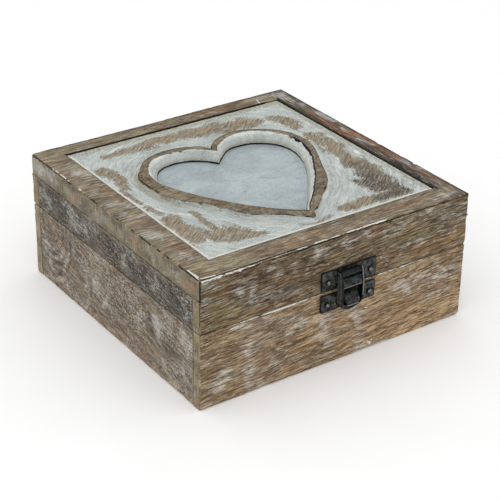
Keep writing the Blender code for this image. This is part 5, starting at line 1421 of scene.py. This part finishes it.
def makeLatch(metal):
    look = latchLook
    axis = np.array([look["haspX"], look["pinY"], look["pinZ"]])

    def makePiece(name, points, faces, body, standsFor, edge, face):
        marks = {"edge": edge, "face": face}
        makeMesh(name, points, faces, metal, body, [standsFor], marks)

    # upper plate with its barrel
    bottom = seamHeight + look["upperGap"]
    plate, plateFaces, edge, face = latchPlate(look, bottom, bottom + look["upperHeight"], 401)
    half = look["barrelHalf"]
    barrel, barrelFaces = tube(-half, half, look["barrelRadius"], look["pinRadius"] + 0.3)
    barrelEdge = smooth(np.abs(barrel[:, 0]), half - 0.5, half - 0.1) * 0.3
    lowRim = 0.75 * (1 - smooth(plate[:, 2] - bottom, 0.2, 0.8)) * (face > 0.05)
    points, faces = joined([(plate, plateFaces), (barrel + axis, barrelFaces)])
    edge = np.concatenate([np.maximum(edge, lowRim), barrelEdge])
    face = np.concatenate([face, np.full(len(barrel), 0.15)])
    makePiece("latch_plate_with_barrel", points, faces, "lid", "latch_upper_plate", edge, face)
    # lower plate with the keeper's bill
    top = seamHeight - look["lowerGap"]
    plate, plateFaces, edge, face = latchPlate(look, top - look["lowerHeight"], top, 411)
    dimple = np.exp(-(((plate[:, (0, 2)] - look["dimple"]) / look["dimpleSize"]) ** 2).sum(axis=1)) * face
    plate[:, 1] += look["dimpleDepth"] * dimple
    bill, billFaces, billEdge = keeperSurface(look)
    points, faces = joined([(plate, plateFaces), (bill, billFaces)])
    edge = np.concatenate([np.maximum(edge, dimple), billEdge])
    face = np.concatenate([face, np.full(len(bill), 0.5)])
    makePiece("latch_plate_with_keeper", points, faces, "base", "latch_lower_plate", edge, face)
    # hasp and screws
    points, faces, edge, face = haspSurface(look)
    makePiece("stirrup_hasp", points + axis, faces, "hasp", "latch_hasp", edge, face)
    for number, body in ((1, "lid"), (2, "lid"), (3, "base"), (4, "base")):
        x, _, z = screwCentre(number)
        head, faces, edge = screwHead(look, 25 * number)
        place = [x, look["screwSeat"], z]
        # the screws' worn dome tops, doubled as face marks, also get a painted sheen
        makePiece(f"domed_screw_{number}", head + place, faces, body, f"latch_screw_{number}", edge, 2 * edge)
    print("latch made")


def screwCentre(number):
    return np.array(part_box(f"latch_screw_{number}")).mean(axis=0) * 1000


def roundScrews(points):
    # 0 close round a screw, 1 away from it: it keeps a ring of painted shade dark round each screw head
    centres = [screwCentre(number) for number in (1, 2, 3, 4)]
    away = [np.hypot(points[:, 0] - x, points[:, 2] - z) for x, _, z in centres]
    return smooth(np.min(away, axis=0), 1.5, 2.3)


def squarish(turn, power):
    # a circle's cosine and sine pressed out towards a square, the more the smaller the power
    return [np.sign(wave) * np.abs(wave) ** power for wave in (np.cos(turn), np.sin(turn))]


def keeperSurface(look):
    # a sheet that leaves the plate, bends down along a quadratic curve and ends in a lip: at each place of
    # the curve a rounded rectangle, across in X and through the sheet along "inward"
    t = np.linspace(0, 1, 40)
    count, thick = 40, look["keeperSheet"]
    top = seamHeight - look["lowerGap"] - look["keeperRoot"]
    front = look["plateFront"] - look["keeperReach"]
    start, pull = np.array([look["keeperY"], top]), np.array([front, top - thick])
    end = np.array([front, top - look["keeperLength"]])
    line = (1 - t[:, None]) ** 2 * start + 2 * (t * (1 - t))[:, None] * pull + t[:, None] ** 2 * end
    slope = np.gradient(line, axis=0)
    inward = np.stack([-slope[:, 1], slope[:, 0]], 1)
    inward /= np.linalg.norm(inward, axis=1)[:, None]
    inward *= np.where(inward[:, :1] > 0, 1, -1)
    half = look["keeperWidth"] / 2 * (1 - 0.12 * smooth(t, 0.75, 1.0))
    across, through = squarish(np.linspace(0, 2 * math.pi, count, endpoint=False), 0.18)
    depth = thick / 2 * (1 - through)
    grid = np.empty((len(t), count, 3))
    grid[:, :, 0] = look["haspX"] + half[:, None] * across
    grid[:, :, 1:] = line[:, None] + inward[:, None] * depth[:, None]
    points, faces = capped(grid)
    rim = smooth((points[:, 0] - look["haspX"]) / (look["keeperWidth"] / 2), 0.80, 0.95)
    rim = rim * smooth(points[:, 2], top - 2.5, top - 4.5)
    lip = smooth(points[:, 2], top - look["keeperLength"] + 1.0, top - look["keeperLength"] + 0.1)
    return points, faces, np.maximum(rim * 0.8, lip)


def capped(grid):
    # closes a tube of rings: both ends are drawn in by three steps to a tiny ring, which a strip fills
    ends = [[ring.mean(axis=0) + (ring - ring.mean(axis=0)) * share for share in (0.02, 0.4, 0.8)]
            for ring in (grid[0], grid[-1])]
    rings = np.stack(ends[0] + list(grid) + ends[1][::-1])
    rows, columns = rings.shape[:2]
    left = np.arange(columns // 2 - 1)
    right = columns - 1 - left
    strip = np.stack([left, left + 1, right - 1, right], 1)
    faces = [wrapFaces(rows, columns, closeRows=False), strip[:, ::-1], strip + (rows - 1) * columns]
    return rings.reshape(-1, 3), np.concatenate(faces)


def haspSurface(look):
    # the strap: a thin rounded rectangle carried down one side, round the chin and up the other,
    # standing out from the plate as far as the side profile says; then the sheet across it
    half, strap, wide = look["haspWidth"] / 2, look["strap"], look["strapLeft"]
    length, chin, ear = look["haspLength"], look["chin"], look["ear"]
    sideCount, chinCount, sheetCount, aroundCount = 60, 64, 24, 36
    down = np.linspace(ear - 0.02, -length + chin, sideCount)
    bend = np.linspace(0, math.pi, chinCount)[1:-1]

    def carried(right, left, round, foot):
        # a line down the right side, round the chin and up the left side
        x = np.concatenate([np.full(sideCount, right), round * np.cos(bend), np.full(sideCount, -left)])
        return x, np.concatenate([down, -length + foot + (chin - foot) * (1 - np.sin(bend)), down[::-1]])

    x, z = carried(half, half, half, 0)
    inside = half - strap - (wide - strap) * (1 - np.cos(bend)) / 2  # the left strap is the thicker one
    xIn, zIn = carried(half - strap, half - wide, inside, look["chinThick"])
    zIn = np.where(np.abs(x) < half, zIn, z)

    def earAt(height):
        # the round end above the pin
        return np.sqrt(np.clip(ear ** 2 - np.clip(height, 0, None) ** 2, 0.0004, None))

    def frontAt(height):
        # how far the strap's front stands out: swelling below the ear, and falling back at the chin
        body = ear + (look["front"] - ear) * smooth(-height, 0, look["swell"])
        low = smooth(height, -length, -length + look["chinRise"])
        low = look["chinFront"] + (look["front"] - look["chinFront"]) * low
        return np.where(height > 0, earAt(height), np.where(height < -look["chinFrom"], low, body))

    around = np.linspace(0, 2 * math.pi, aroundCount, endpoint=False)
    through, deep = [(1 + wave) / 2 for wave in squarish(around, 0.3)]
    front, back = frontAt(z), np.minimum(earAt(z), ear - 0.15)
    grid = np.stack([
        xIn[:, None] + (x - xIn)[:, None] * through,
        -front[:, None] + (front + back)[:, None] * deep,
        zIn[:, None] + (z - zIn)[:, None] * through,
    ], -1)
    points, faces = capped(grid)
    edge = 1 - smooth(points[:, 1] + frontAt(points[:, 2]), 0.05, 0.3)
    onSide = smooth(points[:, 2], -length + chin - 1, -length + chin + 2)
    edge = edge * (points[:, 0] > half - 0.6) * onSide * 0.75
    # the left strap's outer side gets a painted sheen, and stays dark towards the chin: a painted shadow
    # under the bill
    face = 2.3 * smooth(points[:, 0], -half + 0.35, -half + 0.1)
    face = face * smooth(points[:, 2], -length + 2.5, -length + 7)
    # cross sheet
    t = np.linspace(0, 1, sheetCount)
    y = -look["barrelRadius"] + (-look["front"] + look["sheetInset"] + look["barrelRadius"]) * t
    zed = -look["sheetTop"] - (look["sheetBottom"] - look["sheetTop"]) * t
    sheet = np.empty((sheetCount, aroundCount, 3))
    sheet[:, :, 0] = (half - strap / 2) * squarish(around, 0.12)[0]
    sheet[:, :, 1] = y[:, None] + look["sheet"] * deep
    sheet[:, :, 2] = zed[:, None]
    sheetPoints, sheetFaces = capped(sheet)
    lip = smooth(sheetPoints[:, 2], -look["sheetBottom"] + 0.7, -look["sheetBottom"] + 0.1)
    points, faces = joined([(points, faces), (sheetPoints, sheetFaces)])
    return points, faces, np.concatenate([edge, lip]), np.concatenate([face, np.full(len(sheetPoints), 0.6)])


def screwHead(look, slotTurn):
    # a dome turned about Y with a narrow slot, closed behind by a short shank
    out = [0.0, 0.12, 0.25, 0.38, 0.5, 0.62, 0.74, 0.85, 0.94, 1.0, 1.0, 0.5, 0.45, 0.0]
    out = np.array(out) * look["screwRadius"]
    rise = look["screwHeight"] * np.sqrt(np.clip(1 - (out[:10] / look["screwRadius"]) ** 2, 0, None))
    rise = np.concatenate([rise, [-0.15, -0.15, -3.4, -3.6]])
    turn = np.linspace(0, 2 * math.pi, 48, endpoint=False)
    r = np.maximum(out, 0.004)[:, None]
    across, up = r * np.cos(turn), r * np.sin(turn)
    height = np.broadcast_to(rise[:, None], across.shape).copy()
    lean = math.radians(slotTurn)
    fromSlot = np.abs(across * math.sin(lean) - up * math.cos(lean))
    height[:10] -= 0.35 * (1 - smooth(fromSlot[:10], 0.1, 0.26)) * smooth(r[:10], 1.3, 1.0)
    points = np.stack([across, -height, up], -1).reshape(-1, 3)
    faces = wrapFaces(len(out), 48, closeRows=False)
    # the top of the dome is marked worn: wear, and a painted highlight
    return points, faces, 0.7 * smooth(-points[:, 1], 0.42, 0.7)


def showCadNodes(metal):
    # the hinges and the pin keep their solids and get the worn metal
    for name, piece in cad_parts.items():
        if name.startswith(("hinge_", "latch_pin")):
            for slot in piece.material_slots:
                slot.material = metal
    print("hinges finished")


# Floor, light and camera

def makeStage():
    # one wide sheet just under the box
    size, down = 4000.0, -0.05
    corners = [(x * size * mm, y * size * mm, down * mm) for x, y in ((-1, -1), (1, -1), (1, 1), (-1, 1))]
    mesh = bpy.data.meshes.new("pale_floor")
    mesh.from_pydata(corners, [], [(0, 1, 2, 3)])
    floor = bpy.data.objects.new("pale_floor", mesh)
    bpy.context.scene.collection.objects.link(floor)
    material, tree, surface = newMaterial("pale floor paper")
    place = grainPlace(tree, "X", (0, 0, 0))
    clouds = stretched(tree, place, (0.02, 0.02, 0.02), 2)
    tone = blend(tree, clouds, colour(250, 250, 250), colour(246, 246, 246))
    tree.links.new(tone, surface.inputs["Base Color"])
    surface.inputs["Roughness"].default_value = 0.9
    surface.inputs["Specular IOR Level"].default_value = 0.0
    mesh.materials.append(material)


lightLook = {
    "sky": 0.98,
    # place, size and power of each soft box
    "softbox_over": ((-0.3, -0.2, 1.2), 1.2, 2.5), "softbox_side": ((-0.9, -0.9, 0.7), 0.8, 0.9),
    "aim": (0, 0, 0.05),
}


def makeLight():
    world = bpy.data.worlds.new("soft white room")
    world.use_nodes = True
    sky = world.node_tree.nodes["Background"].inputs
    sky["Color"].default_value = (1, 1, 1, 1)
    sky["Strength"].default_value = lightLook["sky"]
    bpy.context.scene.world = world
    for name in ("softbox_over", "softbox_side"):
        place, size, power = lightLook[name]
        lamp = bpy.data.lights.new(name, "AREA")
        lamp.size, lamp.energy = size, power
        holder = bpy.data.objects.new(name, lamp)
        holder.location = place
        holder.rotation_euler = (Vector(place) - Vector(lightLook["aim"])).to_track_quat("Z", "Y").to_euler()
        bpy.context.scene.collection.objects.link(holder)


cameraLook = {
    "azimuth": -35.2111, "elevation": 28.6374, "roll": 0.9102, "lens": 109.79,
    "place": (-0.449667, -0.642836, 0.456646),
}


def makeCamera():
    # stands at its place in metres, towards azimuth and elevation, and is rolled a little
    azimuth, elevation, roll = (math.radians(cameraLook[key]) for key in ("azimuth", "elevation", "roll"))
    back = Vector((math.sin(azimuth) * math.cos(elevation), -math.cos(azimuth) * math.cos(elevation),
            math.sin(elevation)))
    right = Vector((0, 0, 1)).cross(back).normalized()
    up = back.cross(right)
    turnedRight = math.cos(roll) * right + math.sin(roll) * up
    turnedUp = -math.sin(roll) * right + math.cos(roll) * up
    lens = bpy.data.cameras.new("photo_camera")
    lens.lens, lens.sensor_width, lens.clip_start = cameraLook["lens"], 36, 0.01
    camera = bpy.data.objects.new("photo_camera", lens)
    turned = Matrix((turnedRight, turnedUp, back)).transposed().to_4x4()
    camera.matrix_world = Matrix.Translation(cameraLook["place"]) @ turned
    bpy.context.scene.collection.objects.link(camera)
    bpy.context.scene.camera = camera


makeStage()
makeLight()
makeCamera()
woods = makeBoards()
makeTop(woods)
makeHeartPanel()
makeBacking()
metal = darkMetal()
makeLatch(metal)
showCadNodes(metal)
bpy.context.scene.view_settings.view_transform = "Standard"
